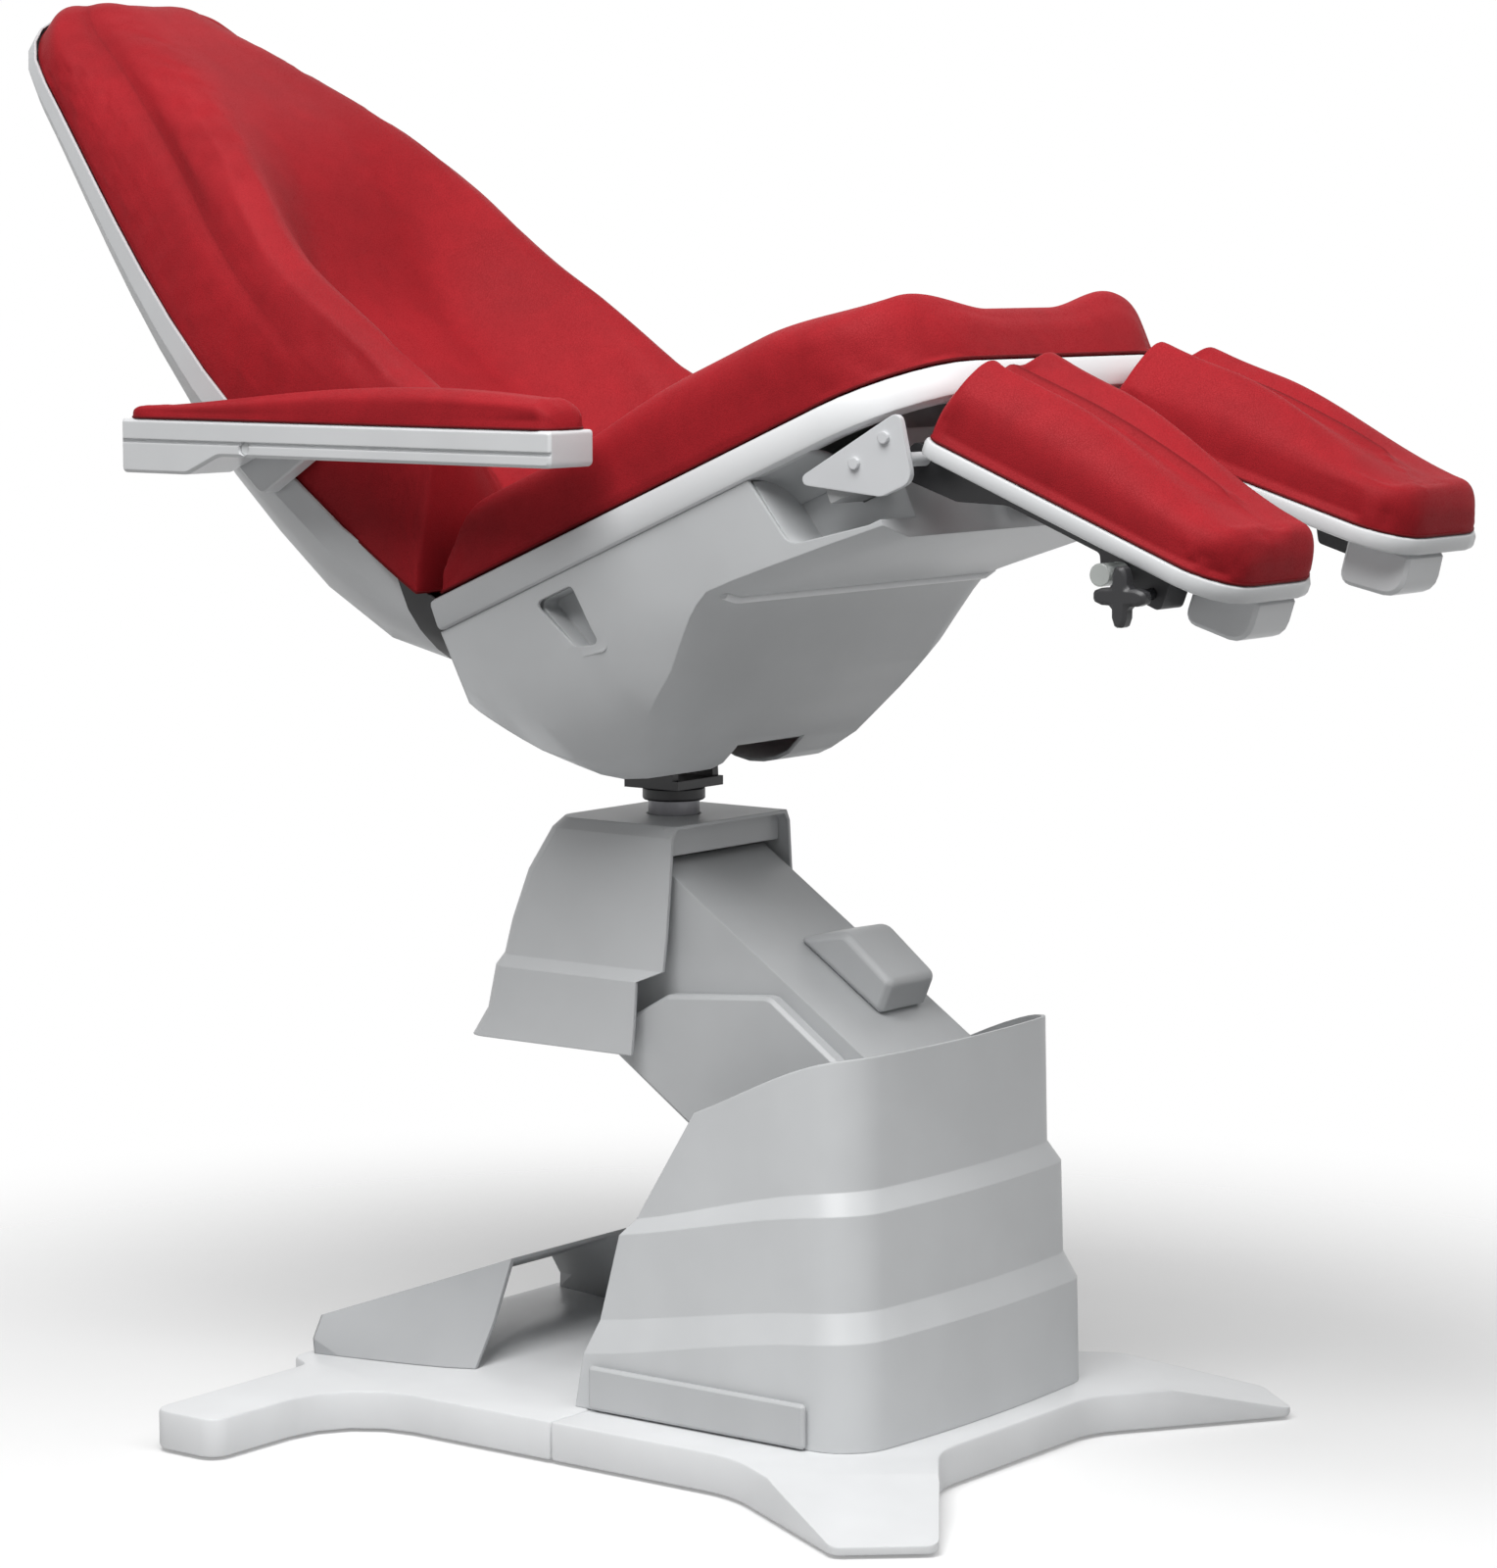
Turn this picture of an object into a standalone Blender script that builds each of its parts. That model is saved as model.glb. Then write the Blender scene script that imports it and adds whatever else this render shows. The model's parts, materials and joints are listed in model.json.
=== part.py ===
"""Podiatry chair: a powered treatment chair with two leg rests, made of separate parts.

The origin is on the floor under the middle of the column. +Z is up, the chair faces -Y and
the sitter's right side is -X. Lengths are in metres and angles in degrees.
"""
import math

import bmesh
import bpy
import numpy as np
from mathutils import Vector

# Air left between pieces that touch, and the usual wall of a moulded cover
GAP = 0.0003
WALL = 0.004
PIN_PLAY = 0.0004
SMOOTH_ANGLE = 32.0

# Base: floor plate, two-part cover and its four feet
BASE_LIFT = 0.003
BASE_TOP = 0.045
BASE_SKIN = 0.012
BASE_HALF = 0.287
BASE_FRONT_Y = -0.222
BASE_FRONT_HALF = 0.140
BASE_SEAM_Y = 0.165
BASE_REAR_Y = 0.575
BASE_REAR_HALF = 0.230
FRONT_FOOT_INNER = (-0.333, -0.355)
FRONT_FOOT_OUTER = (-0.401, -0.276)
FRONT_FOOT_DIRECTION = (-0.760, -0.650)
FRONT_FOOT_TAPER_START = 0.335
FRONT_FOOT_TAPER_END = 0.520
FRONT_FOOT_ROOT_Y = -0.070
REAR_FOOT_X = 0.494
REAR_FOOT_Y = (0.443, 0.534)
FLOOR_PLATE_HALF = 0.240
FLOOR_PLATE_Y = (-0.180, 0.500)
FLOOR_PLATE_THICK = 0.012
REAR_COVER_Y = (0.372, 0.560)
PAD_RADIUS = 0.018
PAD_FRONT = (0.335, -0.285)
PAD_REAR = (0.440, 0.485)

# Column cover: three tiers, each set back by a sloping ledge
COLUMN_HALF = 0.223
COLUMN_FRONT_Y = -0.173
COLUMN_BULGE = 0.014
COLUMN_CORNER = 0.050
TIER_STEP = 0.013
TIER_DRAFT = 0.002
PLATE_HEIGHT = 0.046
PLATE_THICK = 0.009
PLATE_Y = (-0.118, 0.160)

# Lift: parallel arms from the column to the head
LIFT_ANGLE = 34.0
LIFT_PIVOT = (-0.060, 0.328)
LIFT_LENGTH = 0.338
LINK_OFFSET = (0.030, -0.055)
LINK_HALF_WIDTH = 0.050
LINK_HALF_DEPTH = 0.025
LOWER_LINK_HALF_WIDTH = 0.030
LOWER_LINK_HALF_DEPTH = 0.013
CHEEK_INNER = 0.056
CHEEK_OUTER = 0.068
PIN_RADIUS = 0.010
ARM_HALF = 0.094
ARM_TOP = 0.100
ARM_NOSE = 0.080
ARM_DEPTH = 0.091
ARM_SIDE_HALF = 0.115
ACTUATOR_FOOT = (0.060, 0.050)
ACTUATOR_LUG = (0.200, -0.030)
ACTUATOR_RADIUS = 0.020
ACTUATOR_LENGTH = 0.180
ROD_RADIUS = 0.011
ROD_LENGTH = 0.160
ROD_FORK = 0.020

# Head on top of the lift, with the swivel
HEAD_FRONT_Y = 0.147
HEAD_TOP = 0.645
HEAD_BOTTOM = 0.405
HEAD_HALF = 0.104
LIP_Y = (HEAD_FRONT_Y + 0.0125, HEAD_FRONT_Y + 0.0165)
LIP_Z = (HEAD_TOP - 0.033, HEAD_TOP - 0.002)
SKIRT_HALF = 0.134
SKIRT_TOP = 0.488
SKIRT_SETBACK = 0.028
SWIVEL_Y = 0.225
SPINDLE_RADIUS = 0.028
SPINDLE_TOP = HEAD_TOP + 0.015
BOSS_RADIUS = 0.034
BOSS_HEIGHT = 0.014
TILT_PIVOT = (0.225, 0.800)
YOKE_INNER = 0.030
YOKE_OUTER = 0.040

# Seat: s runs forward along the seat and n stands square to it, from the rear rim corner
SEAT_TILT = 23.0
SEAT_ORIGIN = (0.335, 0.885)
SEAT_HALF = 0.270
SEAT_LENGTH = 0.655
RIM_DEPTH = 0.034
RIM_WIDTH = 0.030
SHELL_HALF = SEAT_HALF - 0.006
APRON_HALF = 0.045
POCKET_INNER = SHELL_HALF - 0.064
GRIP_INNER = SHELL_HALF - 0.035
CUSHION_HALF = SEAT_HALF - 0.008
SLOT_HALF = 0.058
SLOT_S = (-0.024, 0.125)
SLOT_FRONT = 0.165
BACK_PIVOT = (-0.012, -0.026)
KNEE = (0.601, -0.081)
KNEE_X = SHELL_HALF - 0.0015
KNEE_PLATE = 0.0065
BEAM_S = (0.508, 0.548)
BEAM_N = (-0.090, -0.050)
PAN_N = (-0.006, -0.001)

# Back: a runs up the back and n stands square to it, toward the sitter
BACK_LEAN = 41.3
BACK_ORIGIN = (0.349, 0.888)
BACK_LENGTH = 0.926
BACK_HALF = SEAT_HALF - 0.008
BACK_TOP_HALF = BACK_HALF - 0.104
BACK_SAG = 0.032
BACK_EDGE = 0.010
STAND_A = (0.160, 0.250)
CHORD_ALLOWANCE = 0.0008
PAD_SQUARE = 0.30
BOLSTER_EDGE = 0.046
BOLSTER_HEIGHT = (
    (0.0, 0.178), (0.25, 0.172), (0.40, 0.160), (0.50, 0.154), (0.60, 0.141), (0.70, 0.120),
    (0.80, 0.092), (0.88, 0.064), (0.93, 0.050),
)
BOLSTER_SHARE = (
    (0.0, 0.93), (0.40, 0.93), (0.50, 0.88), (0.60, 0.77), (0.70, 0.65), (0.80, 0.50), (0.88, 0.38),
    (0.93, 0.34),
)

# Arm rests on the back's sides
REST_OFFSET = 0.024
REST_WIDTH = 0.070
REST_INNER = BACK_HALF + BACK_EDGE + REST_OFFSET
REST_X = (REST_INNER, REST_INNER + REST_WIDTH)
REST_Y = (0.094, 0.682)
REST_Z = (1.031, 1.068)
REST_PIVOT = (0.505, 1.040)

# Leg rests: t runs down each leg rest from the knee and n stands square to it
LEG_DROP = {"r": 21.5, "l": 16.8}
LEG_X = 0.155
LEG_HALF = 0.101
LEG_START = 0.010
LEG_LENGTH = 0.378
LEG_TRAY = (0.012, 0.030)
LEG_SQUARE = 0.30
LEG_VALLEY = 0.060
LEG_FOOT_HEIGHT = 0.046
LEG_ROLLS = ((-0.55, 0.078, 0.36), (0.50, 0.084, 0.36))
RAIL_X = (0.176, 0.214)
RAIL_T = (-0.020, 0.300)
RAIL_N = (-0.028, 0.0115)
RAIL_WAIST = (0.105, 0.218)
RAIL_WAIST_N = -0.004
KNOB_T = 0.285
KNOB_N = -0.016
KNOB_RADIUS = 0.030
BUSH_T = 0.246
BUSH_N = -0.012
BUSH_X = 0.250
BUSH_RADIUS = 0.011


def clear_scene():
    """Start from an empty scene."""
    for old in list(bpy.data.objects):
        bpy.data.objects.remove(old)


def paint(name, colour, roughness, metallic=0.0):
    """A plain surface of one colour."""
    made = bpy.data.materials.new(name)
    made.use_nodes = True
    shader = made.node_tree.nodes["Principled BSDF"]
    shader.inputs["Base Color"].default_value = (*colour, 1.0)
    shader.inputs["Roughness"].default_value = roughness
    shader.inputs["Metallic"].default_value = metallic
    return made


clear_scene()
WHITE = paint("white_plastic", (0.80, 0.81, 0.82), 0.35)
GREY = paint("grey_plastic", (0.56, 0.58, 0.59), 0.40)
RED = paint("red_vinyl", (0.46, 0.03, 0.04), 0.45)
STEEL = paint("painted_steel", (0.30, 0.31, 0.32), 0.45, 0.8)
BRIGHT = paint("bright_steel", (0.70, 0.70, 0.72), 0.25, 1.0)
BLACK = paint("black_plastic", (0.02, 0.02, 0.022), 0.50)
CLEAR = paint("clear_nylon", (0.75, 0.78, 0.78), 0.20)


# Places: each turns flat measures into a point of the chair
def plan(u, v, w):
    """Outline in X and Y, drawn upward."""
    return Vector((u, v, w))


def side(u, v, w):
    """Outline in Y and Z, drawn along X."""
    return Vector((w, u, v))


def lift(u, v, w):
    """Outline along and square to the lift arm, drawn along X."""
    turn = math.radians(LIFT_ANGLE)
    y = LIFT_PIVOT[0] + u * math.cos(turn) - v * math.sin(turn)
    z = LIFT_PIVOT[1] + u * math.sin(turn) + v * math.cos(turn)
    return Vector((w, y, z))


def seat(s, n, x):
    """Outline along and square to the seat, drawn along X."""
    turn = math.radians(SEAT_TILT)
    y = SEAT_ORIGIN[0] - s * math.cos(turn) + n * math.sin(turn)
    z = SEAT_ORIGIN[1] + s * math.sin(turn) + n * math.cos(turn)
    return Vector((x, y, z))


def back(a, n, x):
    """Outline along and square to the back, drawn along X."""
    turn = math.radians(BACK_LEAN)
    y = BACK_ORIGIN[0] + a * math.cos(turn) - n * math.sin(turn)
    z = BACK_ORIGIN[1] + a * math.sin(turn) + n * math.cos(turn)
    return Vector((x, y, z))


def leg(hand):
    """Place on one leg rest: along and square to it, drawn along X."""
    turn = math.radians(LEG_DROP[hand])
    knee = seat(*KNEE, 0.0)

    def place(t, n, x):
        y = knee.y - t * math.cos(turn) - n * math.sin(turn)
        z = knee.z - t * math.sin(turn) + n * math.cos(turn)
        return Vector((x, y, z))

    return place


def flat(place):
    """The same place with its outline across the width: (x, along, up)."""
    return lambda x, along, up: place(along, up, x)


LIFT_A = lift(0, 0, 0)
LIFT_C = lift(LIFT_LENGTH, 0, 0)
LIFT_B = LIFT_A + Vector((0, *LINK_OFFSET))
LIFT_D = LIFT_C + Vector((0, *LINK_OFFSET))
SWIVEL = Vector((0, SWIVEL_Y, 0))
TILT = Vector((0, *TILT_PIVOT))
RECLINE = seat(*BACK_PIVOT, 0)
KNEE_POINT = seat(*KNEE, 0)
SIDES = (("r", -1), ("l", 1))


# Modelling helpers
def outline(corners, steps=4):
    """Closed outline through (u, v, radius) corners, with an arc at each rounded one."""
    points = []
    for i, (u, v, radius) in enumerate(corners):
        here = Vector((u, v))
        if not radius:
            points.append((u, v))
            continue
        before = (Vector(corners[i - 1][:2]) - here).normalized()
        after = (Vector(corners[(i + 1) % len(corners)][:2]) - here).normalized()
        half = before.angle(after) / 2
        centre = here + (before + after).normalized() * radius / math.sin(half)
        first = here + before * radius / math.tan(half) - centre
        last = here + after * radius / math.tan(half) - centre
        start = math.atan2(first.y, first.x)
        sweep = math.atan2(last.y, last.x) - start
        sweep = (sweep + math.pi) % (2 * math.pi) - math.pi
        for k in range(steps + 1):
            angle = start + sweep * k / steps
            points.append((centre.x + radius * math.cos(angle), centre.y + radius * math.sin(angle)))
    return points


def add_mesh(name, points, faces, look, pivot=(0, 0, 0)):
    """One closed body, with its origin at the pivot that it turns about."""
    pivot = Vector(pivot)
    mesh = bpy.data.meshes.new(name)
    mesh.from_pydata([Vector(p) - pivot for p in points], [], faces)
    body = bmesh.new()
    body.from_mesh(mesh)
    bmesh.ops.remove_doubles(body, verts=body.verts, dist=0.00001)
    bmesh.ops.recalc_face_normals(body, faces=body.faces)
    if body.calc_volume(signed=True) < 0:
        bmesh.ops.reverse_faces(body, faces=body.faces)
    body.to_mesh(mesh)
    body.free()
    mesh.shade_smooth()
    mesh.set_sharp_from_angle(angle=math.radians(SMOOTH_ANGLE))
    mesh.materials.append(look)
    made = bpy.data.objects.new(name, mesh)
    made.location = pivot
    bpy.context.collection.objects.link(made)
    return made


def soften(target, width, segments=1):
    """Round the sharp edges of a body."""
    bevel = target.modifiers.new("edges", "BEVEL")
    bevel.width = width
    bevel.segments = segments
    bevel.limit_method = "ANGLE"
    bevel.angle_limit = math.radians(40)
    return target


def combine(target, tools, operation="DIFFERENCE"):
    """Cut or join a body with helper bodies that stay out of the chair."""
    for tool in tools:
        step = target.modifiers.new(operation.lower(), "BOOLEAN")
        step.operation = operation
        step.solver = "EXACT"
        step.object = tool
        tool.hide_render = True
        tool.display_type = "WIRE"
    return target


def prism(name, profile, low, high, place, look, pivot=(0, 0, 0)):
    """Solid with a flat outline, drawn from low to high."""
    count = len(profile)
    points = [place(u, v, low) for u, v in profile] + [place(u, v, high) for u, v in profile]
    faces = [list(range(count)), list(range(count, 2 * count))]
    for i in range(count):
        j = (i + 1) % count
        faces.append((i, j, count + j, count + i))
    return add_mesh(name, points, faces, look, pivot)


def block(name, us, vs, ws, place, look, pivot=(0, 0, 0)):
    """Solid box between pairs of measures."""
    profile = [(us[0], vs[0]), (us[1], vs[0]), (us[1], vs[1]), (us[0], vs[1])]
    return prism(name, profile, ws[0], ws[1], place, look, pivot)


def rod(name, start, end, radius, look, pivot=(0, 0, 0), sides=18):
    """Round bar between two points."""
    start = Vector(start)
    axis = Vector(end) - start
    turn = axis.to_track_quat("Z", "Y")
    ring = []
    for k in range(sides):
        angle = 2 * math.pi * k / sides
        ring.append(turn @ Vector((radius * math.cos(angle), radius * math.sin(angle), 0)))
    points = [start + p for p in ring] + [start + axis + p for p in ring]
    faces = [list(range(sides)), list(range(sides, 2 * sides))]
    for i in range(sides):
        j = (i + 1) % sides
        faces.append((i, j, sides + j, sides + i))
    return add_mesh(name, points, faces, look, pivot)


def across(name, centre, half, radius, look, pivot=(0, 0, 0), middle=0.0, sides=18):
    """Round bar along X through a point."""
    low = Vector((middle - half, centre[1], centre[2]))
    high = Vector((middle + half, centre[1], centre[2]))
    return rod(name, low, high, radius, look, pivot, sides)


def bore(target, centre, radius, half=0.5):
    """Round hole along X through a body."""
    return combine(target, [across(target.name + "_bore", centre, half, radius, STEEL)])


def loft(name, rows, look, pivot=(0, 0, 0)):
    """Closed rings joined one to the next, with a flat face at each end."""
    count = len(rows[0])
    points = [p for row in rows for p in row]
    last = (len(rows) - 1) * count
    faces = [list(range(count)), list(range(last, last + count))]
    for r in range(len(rows) - 1):
        for i in range(count):
            j = (i + 1) % count
            faces.append((r * count + i, r * count + j, (r + 1) * count + j, (r + 1) * count + i))
    return add_mesh(name, points, faces, look, pivot)


def shell(name, outer, inner, look, pivot=(0, 0, 0), first_wall=False, last_wall=False):
    """Thin cover between two sheets of rows; an end without a wall stays open."""
    rows = len(outer)
    count = len(outer[0])
    points = [p for row in outer for p in row] + [p for row in inner for p in row]
    shift = rows * count
    faces = []
    for r in range(rows - 1):
        for i in range(count - 1):
            quad = (r * count + i, r * count + i + 1, (r + 1) * count + i + 1, (r + 1) * count + i)
            faces.append(quad)
            faces.append(tuple(shift + k for k in quad))
        for i in (0, count - 1):
            low, high = r * count + i, (r + 1) * count + i
            faces.append((low, high, shift + high, shift + low))
    for wall, r in ((first_wall, 0), (last_wall, rows - 1)):
        ring = list(range(r * count, (r + 1) * count))
        if wall:
            faces.append(ring)
            faces.append([shift + k for k in ring])
            faces.append((ring[0], ring[-1], shift + ring[-1], shift + ring[0]))
            continue
        for i in range(count - 1):
            faces.append((ring[i], ring[i + 1], shift + ring[i + 1], shift + ring[i]))
    return add_mesh(name, points, faces, look, pivot)


def ease(value, low, high):
    """Smooth step from 0 at low to 1 at high."""
    t = min(max((value - low) / (high - low), 0.0), 1.0)
    return t * t * (3 - 2 * t)


def grown(pair, play):
    """A pair of limits set apart by some play at each end."""
    return pair[0] - play, pair[1] + play


def mirrored(half):
    """Outline that is the same on both sides of the middle."""
    return half + [(-u, v, r) for u, v, r in reversed(half)]


# Base
def base_room(name):
    """Room under the cover for the floor plate."""
    return block(name, (-0.25, 0.25), (-0.19, 0.545), (-0.01, BASE_TOP - BASE_SKIN), plan, WHITE)


def foot_taper(name, hand):
    """Slanting cut that thins a front foot toward its tip."""
    forward = Vector((FRONT_FOOT_DIRECTION[0] * -hand, FRONT_FOOT_DIRECTION[1], 0)).normalized()
    across_foot = Vector((-forward.y, forward.x, 0))

    def place(u, v, w):
        return forward * u + across_foot * w + Vector((0, 0, v))

    profile = [
        (FRONT_FOOT_TAPER_START, BASE_TOP + 0.0005),
        (FRONT_FOOT_TAPER_END, BASE_TOP + 0.0005),
        (FRONT_FOOT_TAPER_END, 0.004),
    ]
    return prism(name, profile, -0.2, 0.2, place, WHITE)


def floor_pads(end, spot):
    """Round pads that the cover's feet stand on."""
    pads = []
    for hand, sign in SIDES:
        low = Vector((sign * spot[0], spot[1], 0))
        pads.append(rod(f"pad_{end}_{hand}", low, low + Vector((0, 0, BASE_LIFT + 0.001)), PAD_RADIUS, WHITE))
    return pads


def make_base():
    """Floor plate, pads and the two halves of the cover."""
    half = FLOOR_PLATE_HALF
    plate = block("floor_plate", (-half, half), FLOOR_PLATE_Y, (0, FLOOR_PLATE_THICK), plan, STEEL)
    posts = []
    for hand, sign in SIDES:
        x = sorted((sign * 0.170, sign * 0.215))
        for k, y in enumerate(((-0.165, -0.120), (0.440, 0.485))):
            height = (FLOOR_PLATE_THICK / 2, BASE_TOP - BASE_SKIN - GAP)
            posts.append(block(f"plate_post_{hand}{k}", x, y, height, plan, STEEL))
    combine(plate, posts, "UNION")
    front = mirrored([
        (-BASE_FRONT_HALF, BASE_FRONT_Y, 0.10),
        (*FRONT_FOOT_INNER, 0.014),
        (*FRONT_FOOT_OUTER, 0.014),
        (-BASE_HALF, FRONT_FOOT_ROOT_Y, 0.14),
        (-BASE_HALF, BASE_SEAM_Y - GAP, 0),
    ])
    cover = prism("base_cover_front", outline(front), BASE_LIFT, BASE_TOP, plan, WHITE)
    soften(cover, 0.004, 2)
    window = block("front_window", (-0.10, 0.10), (-0.13, 0.150), (0.0, 0.06), plan, WHITE)
    combine(cover, [base_room("front_room"), window, foot_taper("taper_r", 1), foot_taper("taper_l", -1)])
    combine(cover, floor_pads("front", PAD_FRONT), "UNION")
    rear = mirrored([
        (-BASE_HALF, BASE_SEAM_Y + GAP, 0),
        (-BASE_HALF, REAR_FOOT_Y[0], 0.09),
        (-REAR_FOOT_X, REAR_FOOT_Y[0], 0.022),
        (-REAR_FOOT_X, REAR_FOOT_Y[1], 0.022),
        (-BASE_REAR_HALF - 0.02, REAR_FOOT_Y[1] + 0.004, 0.02),
        (-BASE_REAR_HALF, BASE_REAR_Y, 0.02),
    ])
    cover = prism("base_cover_rear", outline(rear), BASE_LIFT, BASE_TOP, plan, WHITE)
    soften(cover, 0.004, 2)
    combine(cover, [base_room("rear_room")])
    combine(cover, floor_pads("rear", PAD_REAR), "UNION")


def rear_cover_row(y, inset):
    """Half section of the rear cover: a side wing that leans in to a ridge."""
    along = (y - REAR_COVER_Y[0]) / (REAR_COVER_Y[1] - REAR_COVER_Y[0])
    foot = 0.162 + 0.050 * along ** 0.7
    ridge = 0.100 + 0.100 * along ** 1.6
    height = 0.156 - 0.070 * along
    return foot - inset, ridge - inset, height - inset


def make_rear_cover():
    """Trough behind the column: two leaning wings and a low rear wall."""
    floor = BASE_TOP + GAP
    rows = []
    for inset in (0.0, WALL):
        sheet = []
        for k in range(7):
            y = REAR_COVER_Y[0] + (REAR_COVER_Y[1] - inset - REAR_COVER_Y[0]) * k / 6
            foot, ridge, height = rear_cover_row(y, inset)
            mid = (foot + ridge) / 2 + 0.008 * (k / 6)
            half = [(foot, floor), (mid, floor + (height - floor) * 0.42), (ridge, height)]
            across_row = [(-x, z) for x, z in half] + list(reversed(half))
            sheet.append([Vector((x, y, z)) for x, z in across_row])
        rows.append(sheet)
    shell("rear_cover", rows[0], rows[1], GREY)


# Column
def column_row(half, rear, height, drop, inset):
    """One level of the column cover, as a U that is open behind and falls toward the rear."""
    front = COLUMN_FRONT_Y + (COLUMN_HALF - half)
    radius = COLUMN_CORNER - inset
    half = half - inset
    front = front + inset
    points = []
    for k in range(7):
        points.append((-half, rear + (front + radius - rear) * k / 7))
    for k in range(7):
        angle = math.pi + math.pi / 2 * k / 6
        points.append((-half + radius + radius * math.cos(angle), front + radius + radius * math.sin(angle)))
    flat_half = half - radius
    for k in range(1, 4):
        points.append((-flat_half + flat_half * k / 4, front))
    points = points + [(0.0, front)] + [(-x, y) for x, y in reversed(points)]
    level = []
    for x, y in points:
        bulge = COLUMN_BULGE * max(0.0, 1 - (x / half) ** 2) * ease(-y, -front - radius, -front)
        fall = drop * ease(y, front - 0.02, rear + 0.10) * 1.25
        level.append(Vector((x, y - bulge, height - fall)))
    return level


def column_rows(inset):
    """Levels of the three tiers from the floor up: half width, rear end, height, fall."""
    half = COLUMN_HALF
    levels = (
        (half, 0.183, BASE_TOP + GAP, 0.0),
        (half - TIER_DRAFT, 0.174, 0.157, 0.050),
        (half - TIER_STEP, 0.160, 0.186, 0.044),
        (half - TIER_STEP - TIER_DRAFT, 0.136, 0.284, 0.050),
        (half - 2 * TIER_STEP, 0.122, 0.306, 0.056),
        (half - 2 * TIER_STEP - TIER_DRAFT, 0.048, 0.441, 0.078),
    )
    return [column_row(*level, inset) for level in levels]


def make_column():
    """Moulded cover, side plates and the steel frame that carries the lift."""
    shell("column_cover", column_rows(0.0), column_rows(WALL), GREY)
    for hand, sign in SIDES:
        x = sorted((sign * (COLUMN_HALF + GAP), sign * (COLUMN_HALF + PLATE_THICK)))
        low = BASE_TOP + 0.002
        plate = block(f"side_plate_{hand}", PLATE_Y, (low, low + PLATE_HEIGHT), x, side, GREY)
        soften(plate, 0.003)
    floor = FLOOR_PLATE_THICK + GAP
    frame = block("column_frame", (-0.085, 0.085), (-0.115, 0.120), (floor, floor + 0.010), plan, STEEL)
    cheek = outline([
        (-0.110, floor + 0.002, 0), (0.110, floor + 0.002, 0), (0.095, 0.110, 0.04), (0.012, 0.290, 0.03),
        (-0.035, 0.362, 0.028), (-0.092, 0.350, 0.028),
    ])
    joins = []
    for hand, sign in SIDES:
        x = sorted((sign * CHEEK_INNER, sign * CHEEK_OUTER))
        joins.append(prism(f"column_cheek_{hand}", cheek, x[0], x[1], side, STEEL))
    combine(frame, joins, "UNION")
    pins = (("lift_pin", LIFT_A), ("link_pin", LIFT_B), ("actuator_pin", Vector((0, *ACTUATOR_FOOT))))
    for name, centre in pins:
        bore(frame, centre, PIN_RADIUS + PIN_PLAY)
        across(name, centre, CHEEK_OUTER + 0.006, PIN_RADIUS, BRIGHT)


# Lift
def actuator_axis():
    """Foot, upper eye and direction of the lift actuator."""
    turn = math.radians(LIFT_ANGLE)
    u, v = ACTUATOR_LUG
    along = Vector((0, math.cos(turn), math.sin(turn)))
    square = Vector((0, -math.sin(turn), math.cos(turn)))
    eye = LIFT_B + along * u + square * v
    foot = Vector((0, *ACTUATOR_FOOT))
    return foot, eye, (eye - foot).normalized()


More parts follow.
